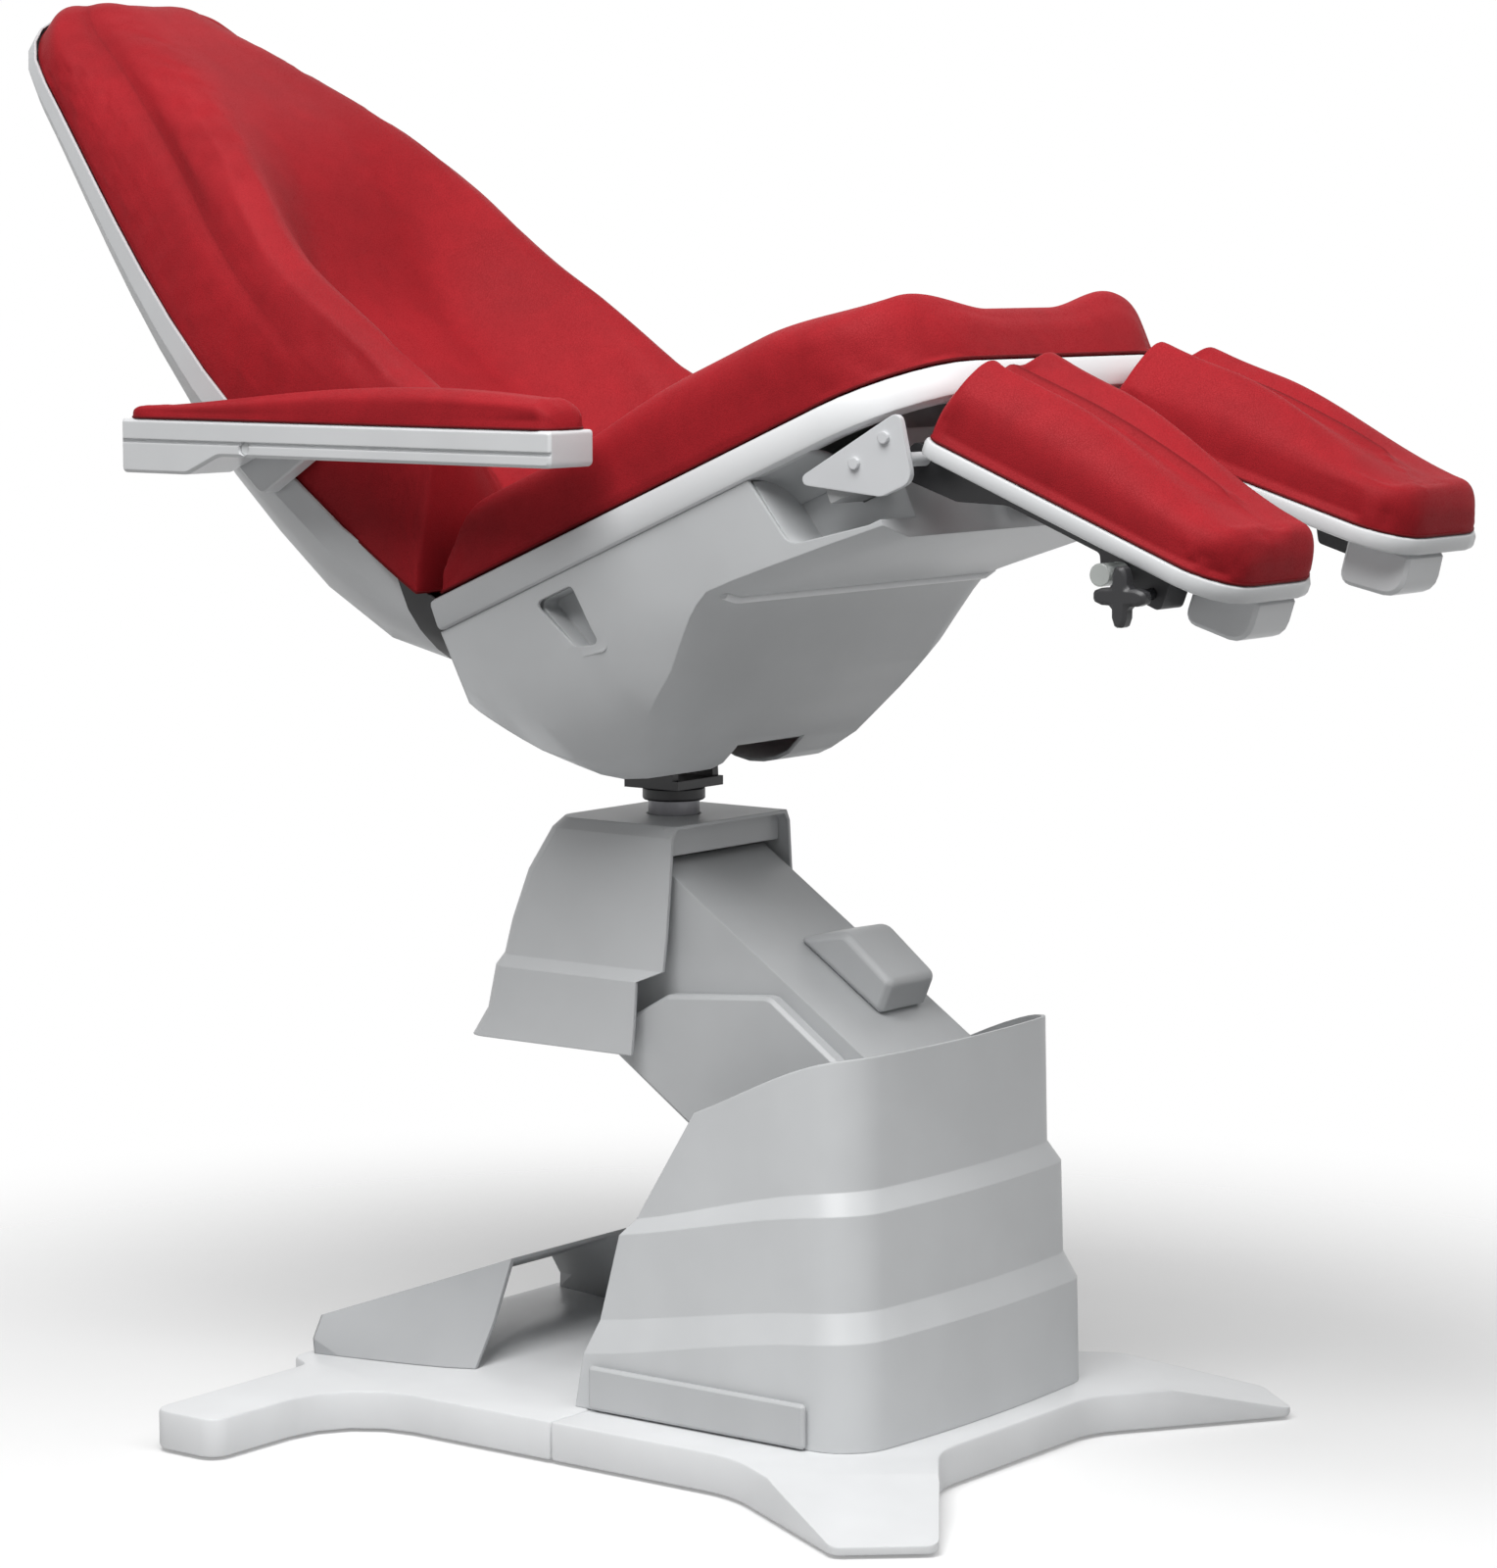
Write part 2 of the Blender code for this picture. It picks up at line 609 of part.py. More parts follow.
def make_links():
    """Upper arm, lower link and the actuator that raises them."""
    end = LIFT_LENGTH
    bar = outline([
        (-LINK_HALF_DEPTH, -LINK_HALF_DEPTH, 0.02), (end + LINK_HALF_DEPTH, -LINK_HALF_DEPTH, 0.02),
        (end + LINK_HALF_DEPTH, LINK_HALF_DEPTH, 0.02), (-LINK_HALF_DEPTH, LINK_HALF_DEPTH, 0.02),
    ])
    upper = prism("upper_link", bar, -LINK_HALF_WIDTH, LINK_HALF_WIDTH, lift, STEEL, LIFT_A)
    rib = block("arm_rib", (0.100, 0.160), (0.0, ARM_TOP - WALL - GAP), (-0.030, 0.030), lift, STEEL)
    combine(upper, [rib], "UNION")
    for centre in (LIFT_A, LIFT_C):
        bore(upper, centre, PIN_RADIUS + PIN_PLAY)
    shift = LIFT_B - LIFT_A

    def low_lift(u, v, w):
        return lift(u, v, w) + shift

    depth = LOWER_LINK_HALF_DEPTH
    bar = outline([
        (-depth, -depth, 0.010), (end + depth, -depth, 0.010), (end + depth, depth, 0.010),
        (-depth, depth, 0.010),
    ])
    half = LOWER_LINK_HALF_WIDTH
    lower = prism("lower_link", bar, -half, half, low_lift, STEEL, LIFT_B)
    u, v = ACTUATOR_LUG
    lug = outline([
        (u - 0.022, 0, 0), (u - 0.012, v - 0.012, 0.010), (u + 0.012, v - 0.012, 0.010),
        (u + 0.022, 0, 0),
    ])
    combine(lower, [prism("link_lug", lug, -0.006, 0.006, low_lift, STEEL)], "UNION")
    foot, eye, along = actuator_axis()
    small = 0.006
    for centre, radius in ((LIFT_B, PIN_RADIUS), (LIFT_D, PIN_RADIUS), (eye, small)):
        bore(lower, centre, radius + PIN_PLAY)
    across("rod_pin", eye, 0.019, small, BRIGHT, LIFT_B)
    ends = (foot - along * 0.016, foot + along * ACTUATOR_LENGTH)
    tube = rod("actuator_tube", *ends, ACTUATOR_RADIUS, BLACK, foot)
    hollow = rod("actuator_hollow", foot + along * 0.020, foot + along * 0.25, ROD_RADIUS + 0.0006, STEEL)
    combine(tube, [hollow])
    bore(tube, foot, PIN_RADIUS + PIN_PLAY)
    root = eye - along * ROD_FORK
    piston = rod("actuator_rod", root - along * ROD_LENGTH, root, ROD_RADIUS, BRIGHT, foot)
    square = Vector((0, -along.z, along.y))

    def fork(u, v, w):
        return eye + along * u + square * v + Vector((w, 0, 0))

    prong = outline([
        (-ROD_FORK - 0.006, -0.014, 0), (0.014, -0.014, 0.012), (0.014, 0.014, 0.012),
        (-ROD_FORK - 0.006, 0.014, 0),
    ])
    body = prism("rod_fork", prong, -0.016, 0.016, fork, BRIGHT)
    clear = block("rod_fork_slot", (-ROD_FORK + 0.004, 0.03), (-0.03, 0.03), (-0.0085, 0.0085), fork, BRIGHT)
    combine(piston, [body], "UNION")
    combine(piston, [clear])
    bore(piston, eye, small + 0.0050)


def make_arm():
    """Moulded cover over the links, its side mouldings and the motor cover on top."""
    end = LIFT_LENGTH + 0.014
    depth = ARM_DEPTH
    skin = outline([
        (-ARM_NOSE, -0.004, 0), (-ARM_NOSE, ARM_TOP, ARM_NOSE - 0.002), (end, ARM_TOP, 0),
        (LIFT_LENGTH - 0.010, -depth, 0), (0.040, -depth, 0.02),
    ], 6)
    cover = prism("arm_cover", skin, -ARM_HALF, ARM_HALF, lift, GREY, LIFT_A)
    nose = ARM_NOSE - WALL
    top = ARM_TOP - WALL
    core = outline([
        (-nose, -0.3, 0), (-nose, top, nose - 0.002), (end + 0.1, top, 0), (end + 0.1, -0.3, 0),
    ], 6)
    combine(cover, [prism("arm_core", core, -ARM_HALF + WALL, ARM_HALF - WALL, lift, GREY)])
    cheek = outline([
        (-0.083, -0.010, 0.004), (-0.062, 0.058, 0.03), (0.010, 0.084, 0.03), (0.145, 0.086, 0.02),
        (LIFT_LENGTH - 0.088, 0.002, 0.006), (LIFT_LENGTH - 0.040, -0.094, 0.006), (0.040, -0.094, 0.02),
    ])
    for hand, sign in SIDES:
        x = sorted((sign * (ARM_HALF + GAP), sign * ARM_SIDE_HALF))
        soften(prism(f"arm_side_{hand}", cheek, x[0], x[1], lift, GREY, LIFT_A), 0.004)
    low = ARM_TOP + GAP
    lump = outline([
        (0.074, low, 0), (0.082, low + 0.040, 0.010), (0.160, low + 0.046, 0.020), (0.205, low, 0),
    ])
    soften(prism("motor_cover", lump, -0.012, 0.072, lift, GREY, LIFT_A), 0.006)


# Head
def head_row(height, half, front, rear, inset):
    """One level of the head cover, as a U that is open in front."""
    half = half - inset
    rear = rear - inset
    radius = 0.030
    points = [(-half, front + (rear - radius - front) * k / 4) for k in range(4)]
    for k in range(6):
        angle = math.pi - math.pi / 2 * k / 5
        points.append((-half + radius + radius * math.cos(angle), rear - radius + radius * math.sin(angle)))
    points = points + [(0.0, rear)] + [(-x, y) for x, y in reversed(points)]
    return [Vector((x, y, height)) for x, y in points]


def head_rows(inset):
    """Levels of the head cover from the skirt up: height, half width, front and rear."""
    front = HEAD_FRONT_Y
    rise = HEAD_TOP - SKIRT_TOP
    levels = (
        (HEAD_BOTTOM, SKIRT_HALF + 0.004, front + SKIRT_SETBACK, 0.408),
        (HEAD_BOTTOM + 0.030, SKIRT_HALF, front + SKIRT_SETBACK, 0.390),
        (SKIRT_TOP - 0.006, SKIRT_HALF - 0.004, front + SKIRT_SETBACK, 0.382),
        (SKIRT_TOP + 0.006, HEAD_HALF + 0.016, front, 0.378),
        (SKIRT_TOP + 0.27 * rise, HEAD_HALF + 0.010, front, 0.372),
        (SKIRT_TOP + 0.62 * rise, HEAD_HALF + 0.004, front, 0.354),
        (HEAD_TOP - 0.012, HEAD_HALF, front, 0.324),
        (HEAD_TOP - inset, HEAD_HALF - 0.006, front, 0.312),
    )
    return [head_row(*level, inset) for level in levels]


def make_head():
    """Head cover, the steel block inside it, its pins and the swivel spindle."""
    cover = shell("head_cover", head_rows(0.0), head_rows(WALL), GREY, LIFT_C, last_wall=True)
    base = Vector((0, SWIVEL_Y, 0))
    ends = (base + Vector((0, 0, HEAD_TOP - 0.05)), base + Vector((0, 0, HEAD_TOP + 0.05)))
    hole = rod("spindle_hole", *ends, SPINDLE_RADIUS + 0.002, GREY)
    lip_half = HEAD_HALF - WALL
    lip = block("head_lip", (-lip_half, lip_half), LIP_Y, LIP_Z, plan, GREY)
    combine(cover, [lip], "UNION")
    combine(cover, [hole])
    top = HEAD_TOP - 0.008
    frame = block("head_frame", (-0.074, 0.074), (0.165, 0.290), (top - 0.010, top), plan, STEEL, LIFT_C)
    y, z = LIFT_C.y, LIFT_C.z
    cheek = outline([
        (y - 0.026, z - 0.022, 0.02), (y + 0.008, z - 0.080, 0.02), (y + 0.058, z - 0.080, 0.02),
        (y + 0.075, z, 0.03), (y + 0.068, top - 0.002, 0), (y + 0.018, top - 0.002, 0),
        (y - 0.026, z + 0.030, 0.02),
    ])
    joins = []
    for hand, sign in SIDES:
        x = sorted((sign * CHEEK_INNER, sign * CHEEK_OUTER))
        joins.append(prism(f"head_cheek_{hand}", cheek, x[0], x[1], side, STEEL))
    height = (top - 0.002, HEAD_TOP - WALL - GAP)
    joins.append(block("head_stand", (-0.050, 0.050), (0.260, 0.284), height, plan, STEEL))
    combine(frame, joins, "UNION")
    for name, centre in (("head_pin", LIFT_C), ("head_link_pin", LIFT_D)):
        bore(frame, centre, PIN_RADIUS + PIN_PLAY)
        across(name, centre, CHEEK_OUTER + 0.006, PIN_RADIUS, BRIGHT, LIFT_C)
    ends = (base + Vector((0, 0, top + GAP)), base + Vector((0, 0, SPINDLE_TOP)))
    rod("swivel_spindle", *ends, SPINDLE_RADIUS, BRIGHT, LIFT_C)


def make_swivel():
    """Turning boss and the yoke that carries the seat."""
    base = Vector((0, SWIVEL_Y, 0))
    low = SPINDLE_TOP + GAP
    ends = (base + Vector((0, 0, low)), base + Vector((0, 0, low + BOSS_HEIGHT)))
    boss = rod("swivel_boss", *ends, BOSS_RADIUS, BLACK, SWIVEL)
    soften(boss, 0.002)
    low = low + BOSS_HEIGHT + GAP
    y, z = TILT_PIVOT
    foot = ((-YOKE_OUTER, YOKE_OUTER), (y - 0.036, y + 0.036), (low, low + 0.010))
    yoke = block("tilt_yoke", *foot, plan, STEEL, SWIVEL)
    cheek = outline([
        (y - 0.030, low + 0.002, 0), (y + 0.030, low + 0.002, 0), (y + 0.022, z + 0.022, 0.02),
        (y - 0.022, z + 0.022, 0.02),
    ])
    joins = []
    for hand, sign in SIDES:
        x = sorted((sign * YOKE_INNER, sign * YOKE_OUTER))
        joins.append(prism(f"yoke_cheek_{hand}", cheek, x[0], x[1], side, STEEL))
    combine(yoke, joins, "UNION")
    bore(yoke, TILT, PIN_RADIUS + PIN_PLAY)
    across("tilt_pin", TILT, 0.060, PIN_RADIUS, BRIGHT, SWIVEL)


# Seat
SHELL_KEEL = (
    (-0.004, 0.124), (0.012, 0.152), (0.034, 0.186), (0.065, 0.224), (0.100, 0.243), (0.135, 0.246),
    (0.180, 0.224), (0.245, 0.188), (0.298, 0.145), (0.332, 0.127), (0.370, 0.129), (0.420, 0.133),
    (0.490, 0.139), (0.560, 0.146),
)
SHELL_PARTS = (2, 2, 2, 2, 2, 2, 2, 2, 2, 1, 1, 1, 1)
BELLY_FLANK = ((0.034, 0.0), (0.125, 0.010), (0.190, 0.034), (0.235, 0.076), (0.256, 0.134))


def follow(value, table):
    """Straight-line reading of a short table of (at, value) pairs."""
    return float(np.interp(value, [pair[0] for pair in table], [pair[1] for pair in table]))


def follow_curve(value, table):
    """Smooth reading of a short table of (at, value) pairs."""
    at = [pair[0] for pair in table]
    level = [pair[1] for pair in table]
    k = min(max(int(np.searchsorted(at, value)) - 1, 0), len(at) - 2)
    slopes = np.gradient(level, at)
    span = at[k + 1] - at[k]
    t = (value - at[k]) / span
    bend = t * t * (3 - 2 * t)
    start = span * slopes[k] * t * (1 - t) ** 2
    finish = span * slopes[k + 1] * t * t * (1 - t)
    return float(level[k] + (level[k + 1] - level[k]) * bend + start - finish)


def flank(s, n):
    """Half width of the seat shell at a height: round under the sitter, upright in front."""
    belly = SHELL_HALF - follow(-n, BELLY_FLANK)
    shelf = SHELL_HALF + 0.05 * (n + RIM_DEPTH)
    return belly + (shelf - belly) * ease(s, 0.31, 0.40)


def shell_row(s, depth, inset):
    """Section of the seat shell from rim to rim."""
    top = -RIM_DEPTH - GAP
    low = inset - depth
    section = [(flank(s, top) - inset, top)]
    for share in (0.35, 0.65, 0.88):
        n = top + (low - top) * share
        section.append((flank(s, n) - inset, n))
    section = section + [(flank(s, low) * 0.86 - inset, low), (0.0, low)]
    section = [(-x, n) for x, n in section] + list(reversed(section[:-1]))
    return [seat(s, n, x) for x, n in section]


def make_seat_shell():
    """Deep moulding under the seat, its white rim and the apron between the leg rests."""
    end = SHELL_KEEL[-1][0]
    rows = []
    for (near, _), (far, _), parts in zip(SHELL_KEEL, SHELL_KEEL[1:], SHELL_PARTS):
        rows += [near + (far - near) * k / parts for k in range(parts)]
    keel = [(s, follow_curve(s, SHELL_KEEL)) for s in rows + [end]]
    outer = [shell_row(s, depth, 0.0) for s, depth in keel]
    inner = [shell_row(min(s, end - WALL), depth, WALL) for s, depth in keel]
    body = shell("seat_shell", outer, inner, GREY, TILT, last_wall=True)
    top = -RIM_DEPTH - 0.002
    pocket_cup = outline([
        (0.420, top, 0), (0.443, -0.114, 0.02), (0.543, -0.130, 0.02), (end - 0.001, -0.130, 0),
        (end - 0.001, top, 0),
    ])
    pocket = outline([
        (0.425, -0.02, 0), (0.448, -0.110, 0.02), (0.545, -0.126, 0.02), (0.66, -0.126, 0),
        (0.66, -0.02, 0),
    ])
    grip_cup = outline([
        (0.112, -0.040, 0.008), (0.188, -0.040, 0.008), (0.190, -0.126, 0.008),
        (0.140, -0.118, 0.008),
    ])
    grip = outline([
        (0.124, -0.050, 0.006), (0.177, -0.050, 0.006), (0.181, -0.116, 0.006),
        (0.152, -0.108, 0.006),
    ])
    window = (0.034 - SHELL_HALF, SHELL_HALF - 0.034)
    cups = []
    cutters = [
        block("seat_slot", (-SLOT_HALF, SLOT_HALF), SLOT_S, (-0.35, -0.150), flat(seat), GREY),
        block("slot_front", (-SLOT_HALF, SLOT_HALF), (0.10, SLOT_FRONT), (-0.35, -0.234), flat(seat), GREY),
        block("beam_window", grown(BEAM_S, 0.001), grown(BEAM_N, 0.001), window, seat, GREY),
    ]
    shapes = (
        ("pocket", pocket_cup, pocket, POCKET_INNER, SHELL_HALF - 0.008),
        ("grip", grip_cup, grip, GRIP_INNER, SHELL_HALF - 0.012),
    )
    for hand, sign in SIDES:
        for name, cup, hollow, floor, high in shapes:
            x = sorted((sign * (floor - WALL), sign * high))
            cups.append(prism(f"{name}_cup_{hand}", cup, x[0], x[1], seat, GREY))
            x = sorted((sign * floor, sign * (SHELL_HALF + 0.05)))
            cutters.append(prism(f"{name}_{hand}", hollow, x[0], x[1], seat, GREY))
    combine(body, cups, "UNION")
    combine(body, cutters)
    half = SEAT_HALF
    length = SEAT_LENGTH
    inner_half = half - RIM_WIDTH
    rim = outline([
        (-half, -0.004, 0), (-inner_half, -0.004, 0), (-inner_half, length - RIM_WIDTH, 0.090),
        (inner_half, length - RIM_WIDTH, 0.090), (inner_half, -0.004, 0), (half, -0.004, 0),
        (half, length, 0.120), (-half, length, 0.120),
    ], 7)
    band = prism("seat_rim", rim, -RIM_DEPTH, 0.0, flat(seat), WHITE, TILT)
    soften(band, 0.006, 2)
    apron = outline([
        (0.575, -0.132, 0), (0.602, -0.128, 0.01), (0.638, -0.070, 0.01), (0.642, -RIM_DEPTH - GAP, 0),
        (0.575, -RIM_DEPTH - GAP, 0),
    ])
    nose = prism("seat_apron", apron, -APRON_HALF, APRON_HALF, seat, GREY, TILT)
    soften(nose, 0.004)


def make_seat_frame():
    """Steel pan under the cushion, with lugs for the tilt, the back and the knees."""
    inner = SEAT_HALF - RIM_WIDTH - 0.004
    front = SEAT_LENGTH - RIM_WIDTH - 0.004
    pan = outline([(-inner, 0.030, 0), (inner, 0.030, 0), (inner, front, 0.090), (-inner, front, 0.090)])
    frame = prism("seat_frame", pan, PAN_N[0], PAN_N[1], flat(seat), STEEL, TILT)
    tilt_s = (SEAT_ORIGIN[0] - TILT.y) * math.cos(math.radians(SEAT_TILT))
    tilt_s += (TILT.z - SEAT_ORIGIN[1]) * math.sin(math.radians(SEAT_TILT))
    tilt_n = (TILT.y - SEAT_ORIGIN[0]) * math.sin(math.radians(SEAT_TILT))
    tilt_n += (TILT.z - SEAT_ORIGIN[1]) * math.cos(math.radians(SEAT_TILT))
    lug = outline([
        (tilt_s - 0.022, tilt_n - 0.022, 0.02), (tilt_s + 0.022, tilt_n - 0.022, 0.02),
        (tilt_s + 0.080, -0.003, 0), (tilt_s - 0.040, -0.003, 0),
    ])
    hinge_s, hinge_n = BACK_PIVOT
    ear = outline([
        (hinge_s - 0.014, hinge_n - 0.013, 0.012), (0.070, hinge_n - 0.013, 0.01), (0.070, -0.003, 0),
        (0.032, -0.003, 0), (hinge_s + 0.012, hinge_n + 0.013, 0.008),
        (hinge_s - 0.014, hinge_n + 0.013, 0.012),
    ])
    joins = []
    for hand, sign in SIDES:
        x = sorted((sign * (YOKE_OUTER + 0.002), sign * (YOKE_OUTER + 0.014)))
        joins.append(prism(f"tilt_lug_{hand}", lug, x[0], x[1], seat, STEEL))
        x = sorted((sign * 0.196, sign * 0.206))
        joins.append(prism(f"back_ear_{hand}", ear, x[0], x[1], seat, STEEL))
    combine(frame, joins, "UNION")
    bore(frame, TILT, PIN_RADIUS + PIN_PLAY, 0.1)
    pins = []
    for hand, sign in SIDES:
        pins.append(across(f"back_pin_{hand}", RECLINE, 0.016, 0.008, BRIGHT, TILT, sign * 0.186))
    combine(frame, pins, "UNION")
    half = KNEE_X - KNEE_PLATE - GAP
    beam = block("knee_beam", BEAM_S, BEAM_N, (-half, half), seat, BLACK, TILT)
    stand = block("beam_stand", BEAM_S, (BEAM_N[0] + 0.01, PAN_N[0] - GAP), (-0.15, 0.15), seat, BLACK)
    combine(beam, [stand], "UNION")


def make_knees():
    """Bracket, pin and bolts at each knee."""
    s, n = KNEE
    plate = outline([
        (0.476, -0.056, 0.006), (s + 0.022, -RIM_DEPTH - 0.004, 0.008),
        (s + 0.010, n - 0.026, 0.014), (s - 0.030, n - 0.026, 0.02),
    ])
    pin_end = KNEE_X - 0.0025
    pin_half = (pin_end - RAIL_X[0] + 0.004) / 2
    for hand, sign in SIDES:
        x = sorted((sign * (KNEE_X - KNEE_PLATE), sign * KNEE_X))
        bracket = prism(f"knee_bracket_{hand}", plate, x[0], x[1], seat, GREY, TILT)
        centre = sign * (pin_end - pin_half)
        joins = [across(f"knee_pin_{hand}", KNEE_POINT, pin_half, 0.007, BRIGHT, TILT, centre)]
        for k, (bolt_s, bolt_n) in enumerate(((s - 0.004, -0.056), (s - 0.046, -0.066))):
            centre = seat(bolt_s, bolt_n, 0)
            bolt = across(f"knee_bolt_{hand}{k + 1}", centre, 0.004, 0.006, BRIGHT, TILT, sign * KNEE_X, 12)
            joins.append(bolt)
        combine(bracket, joins, "UNION")


def padded_row(along, half, base, height, wing, place, valley=0.6, lean=0.0, steps=12):
    """Section of a cushion: flat under, full sides, a hollow middle and two wings."""
    square = PAD_SQUARE
    points = []
    for k in range(2 * steps + 1):
        angle = math.pi * k / (2 * steps)
        reach = math.copysign(abs(math.cos(angle)) ** square, math.cos(angle))
        rise = abs(math.sin(angle)) ** square
        edge = abs(reach)
        top = height + (wing - height) * ease(edge, valley - 0.35, valley + 0.25)
        swell = 1.0 + 0.010 * math.sin(math.pi * rise)
        up = base + top * rise
        points.append(place(along + lean * top * rise, up, -half * reach * swell))
    return points


def end_round(along, length, radius):
    """Share of full height near the ends of a cushion: 1 inside, falling at both ends."""
    near = min(along, length - along)
    if near >= radius:
        return 1.0
    return max(0.40, math.sqrt(max(0.0, 1 - (1 - near / radius) ** 2)))


def corner_round(along, length, half, radius):
    """Half width where the plan's front corners are round."""
    left = length - along
    if left >= radius:
        return half
    return half - radius + math.sqrt(max(0.0, radius ** 2 - (radius - left) ** 2))


def make_seat_cushion():
    """Seat pad with raised sides, a roll in front and a hollow middle."""
    base = 0.0005
    start = 0.012
    length = SEAT_LENGTH - 0.006 - start
    rows = []
    for k in range(19):
        part = (1 - math.cos(math.pi * k / 18)) / 2
        along = length * part
        half = corner_round(along, length, CUSHION_HALF, 0.112)
        full = end_round(along, length, 0.030)
        wing = (0.090 + 0.017 * ease(part, 0.20, 0.55) - 0.018 * ease(part, 0.72, 0.95)) * full
        middle = (0.046 + 0.022 * ease(part, 0.35, 0.90)) * full
        lean = 0.55 * (1 - part) ** 2
        rows.append(padded_row(start + along, half, base, middle, wing, seat, 0.60, lean))
    loft("seat_cushion", rows, RED, TILT)


# Back
def back_half(a):
    """Half width of the back, full at the waist and narrower to the top."""
    straight = BACK_HALF + (BACK_TOP_HALF - BACK_HALF) * ease(a, 0.26, 1.06) * 1.15
    return corner_round(a, BACK_LENGTH, straight, 0.10)


def back_rim(a):
    """Height of the back shell's edge, which sags behind a straight line."""
    part = min(max(a / BACK_LENGTH, 0.0), 1.0)
    return -BACK_SAG * math.sin(math.pi * part ** 0.8)


BACK_BELLY = (
    (-0.060, 0.062), (-0.012, 0.090), (0.045, 0.116), (0.120, 0.122), (0.300, 0.122),
    (0.450, 0.106), (0.700, 0.076), (0.945, 0.042),
)


def back_shell_row(a, inset):
    """Section of the back shell from edge to edge."""
    belly = follow_curve(a, BACK_BELLY)
    nest = 0.042 * (1 - ease(a, 0.0, 0.06))
    half = back_half(max(a - 0.012, 0.0)) + BACK_EDGE - nest - inset
    top = back_rim(a)
    low = -belly + inset
    section = [
        (half, top), (half, top * 0.7 + low * 0.3), (half - 0.012, top * 0.45 + low * 0.55),
        (half * 0.84, top * 0.15 + low * 0.85), (half * 0.60, low), (0.0, low),
    ]
    section = [(-x, n) for x, n in section] + list(reversed(section[:-1]))
    return [back(a, n, x) for x, n in section]


def back_pad_row(a, full, lean):
    """Section of the back pad: a hollow middle between two bolsters that draw together toward the top."""
    half = back_half(a - 0.004) - 0.002
    base = back_rim(a) + 0.0006
    crest = follow_curve(a, BOLSTER_HEIGHT)
    at = follow_curve(a, BOLSTER_SHARE)
    middle = 0.062 + 0.018 * ease(a, 0.35, 0.65) - 0.028 * ease(a, 0.70, 0.92)
    power = 2 / PAD_SQUARE
    sides = [(1 - rise ** power) ** (1 / power) for rise in (0.0, 0.45, 0.75, 0.90)]
    points = []
    for reach in sides + [0.8 - 0.1 * k for k in range(9)]:
        rise = max(0.0, 1 - reach ** power) ** (1 / power)
        if reach < at:
            top = middle + (crest - middle) * ease(reach, 0.3 * at, at)
        else:
            top = crest - (crest - BOLSTER_EDGE) * ease(reach, at, 1.02)
        top = max(top, BOLSTER_EDGE) * full * rise
        points.append((half * reach, top))
    section = [(-x, top) for x, top in points] + list(reversed(points[:-1]))
    return [back(a + lean * top, base + top, x) for x, top in section]


def make_back():
    """Shell, steel frame and padding of the back."""
    start = -0.060
    end = BACK_LENGTH + 0.010
    steps = [start + (end - start) * math.sin(math.pi / 2 * k / 17) for k in range(18)]
    outer = [back_shell_row(a, 0.0) for a in steps]
    inner = [back_shell_row(min(a, end - WALL), WALL) for a in steps]
    shell("back_shell", outer, inner, WHITE, RECLINE, last_wall=True)
    ladder = outline([
        (-0.180, 0.020, 0.01), (0.180, 0.020, 0.01), (0.130, 0.620, 0.01), (-0.130, 0.620, 0.01),
    ])
    frame = prism("back_frame", ladder, -0.062, -0.050, flat(back), STEEL, RECLINE)
    windows = []
    for k, (low, high, half) in enumerate(((0.080, 0.280, 0.12), (0.320, 0.560, 0.09))):
        windows.append(block(f"back_window_{k}", (-half, half), (low, high), (-0.1, 0.0), flat(back), STEEL))
    combine(frame, windows)
    hinge_a = (RECLINE.y - BACK_ORIGIN[0]) * math.cos(math.radians(BACK_LEAN))
    hinge_a += (RECLINE.z - BACK_ORIGIN[1]) * math.sin(math.radians(BACK_LEAN))
    hinge_n = -(RECLINE.y - BACK_ORIGIN[0]) * math.sin(math.radians(BACK_LEAN))
    hinge_n += (RECLINE.z - BACK_ORIGIN[1]) * math.cos(math.radians(BACK_LEAN))
    ear = outline([
        (hinge_a - 0.0125, hinge_n - 0.0125, 0.010), (0.061, -0.0605, 0.004), (0.061, -0.0515, 0),
        (hinge_a + 0.036, hinge_n + 0.004, 0.010), (hinge_a - 0.0125, hinge_n + 0.0125, 0.008),
    ])
    joins = []
    for hand, sign in SIDES:
        x = sorted((sign * 0.168, sign * 0.1955))
        joins.append(prism(f"hinge_ear_{hand}", ear, x[0], x[1], back, STEEL))
        x = sorted((sign * 0.122, sign * 0.150))
        shallow = min(follow_curve(a, BACK_BELLY) for a in STAND_A) - CHORD_ALLOWANCE
        depth = (WALL + GAP - shallow, -0.056)
        joins.append(block(f"shell_stand_{hand}", STAND_A, depth, x, back, STEEL))
    combine(frame, joins, "UNION")
    bore(frame, RECLINE, 0.0084, 0.22)
    rows = []
    length = BACK_LENGTH + 0.002
    begin = 0.008
    for k in range(21):
        part = (1 - math.cos(math.pi * k / 20)) / 2
        a = begin + (length - begin) * part
        full = end_round(a - begin, length - begin, 0.035)
        rows.append(back_pad_row(a, full, 0.715 * (1 - part) ** 3))
    loft("back_cushion", rows, RED, RECLINE)


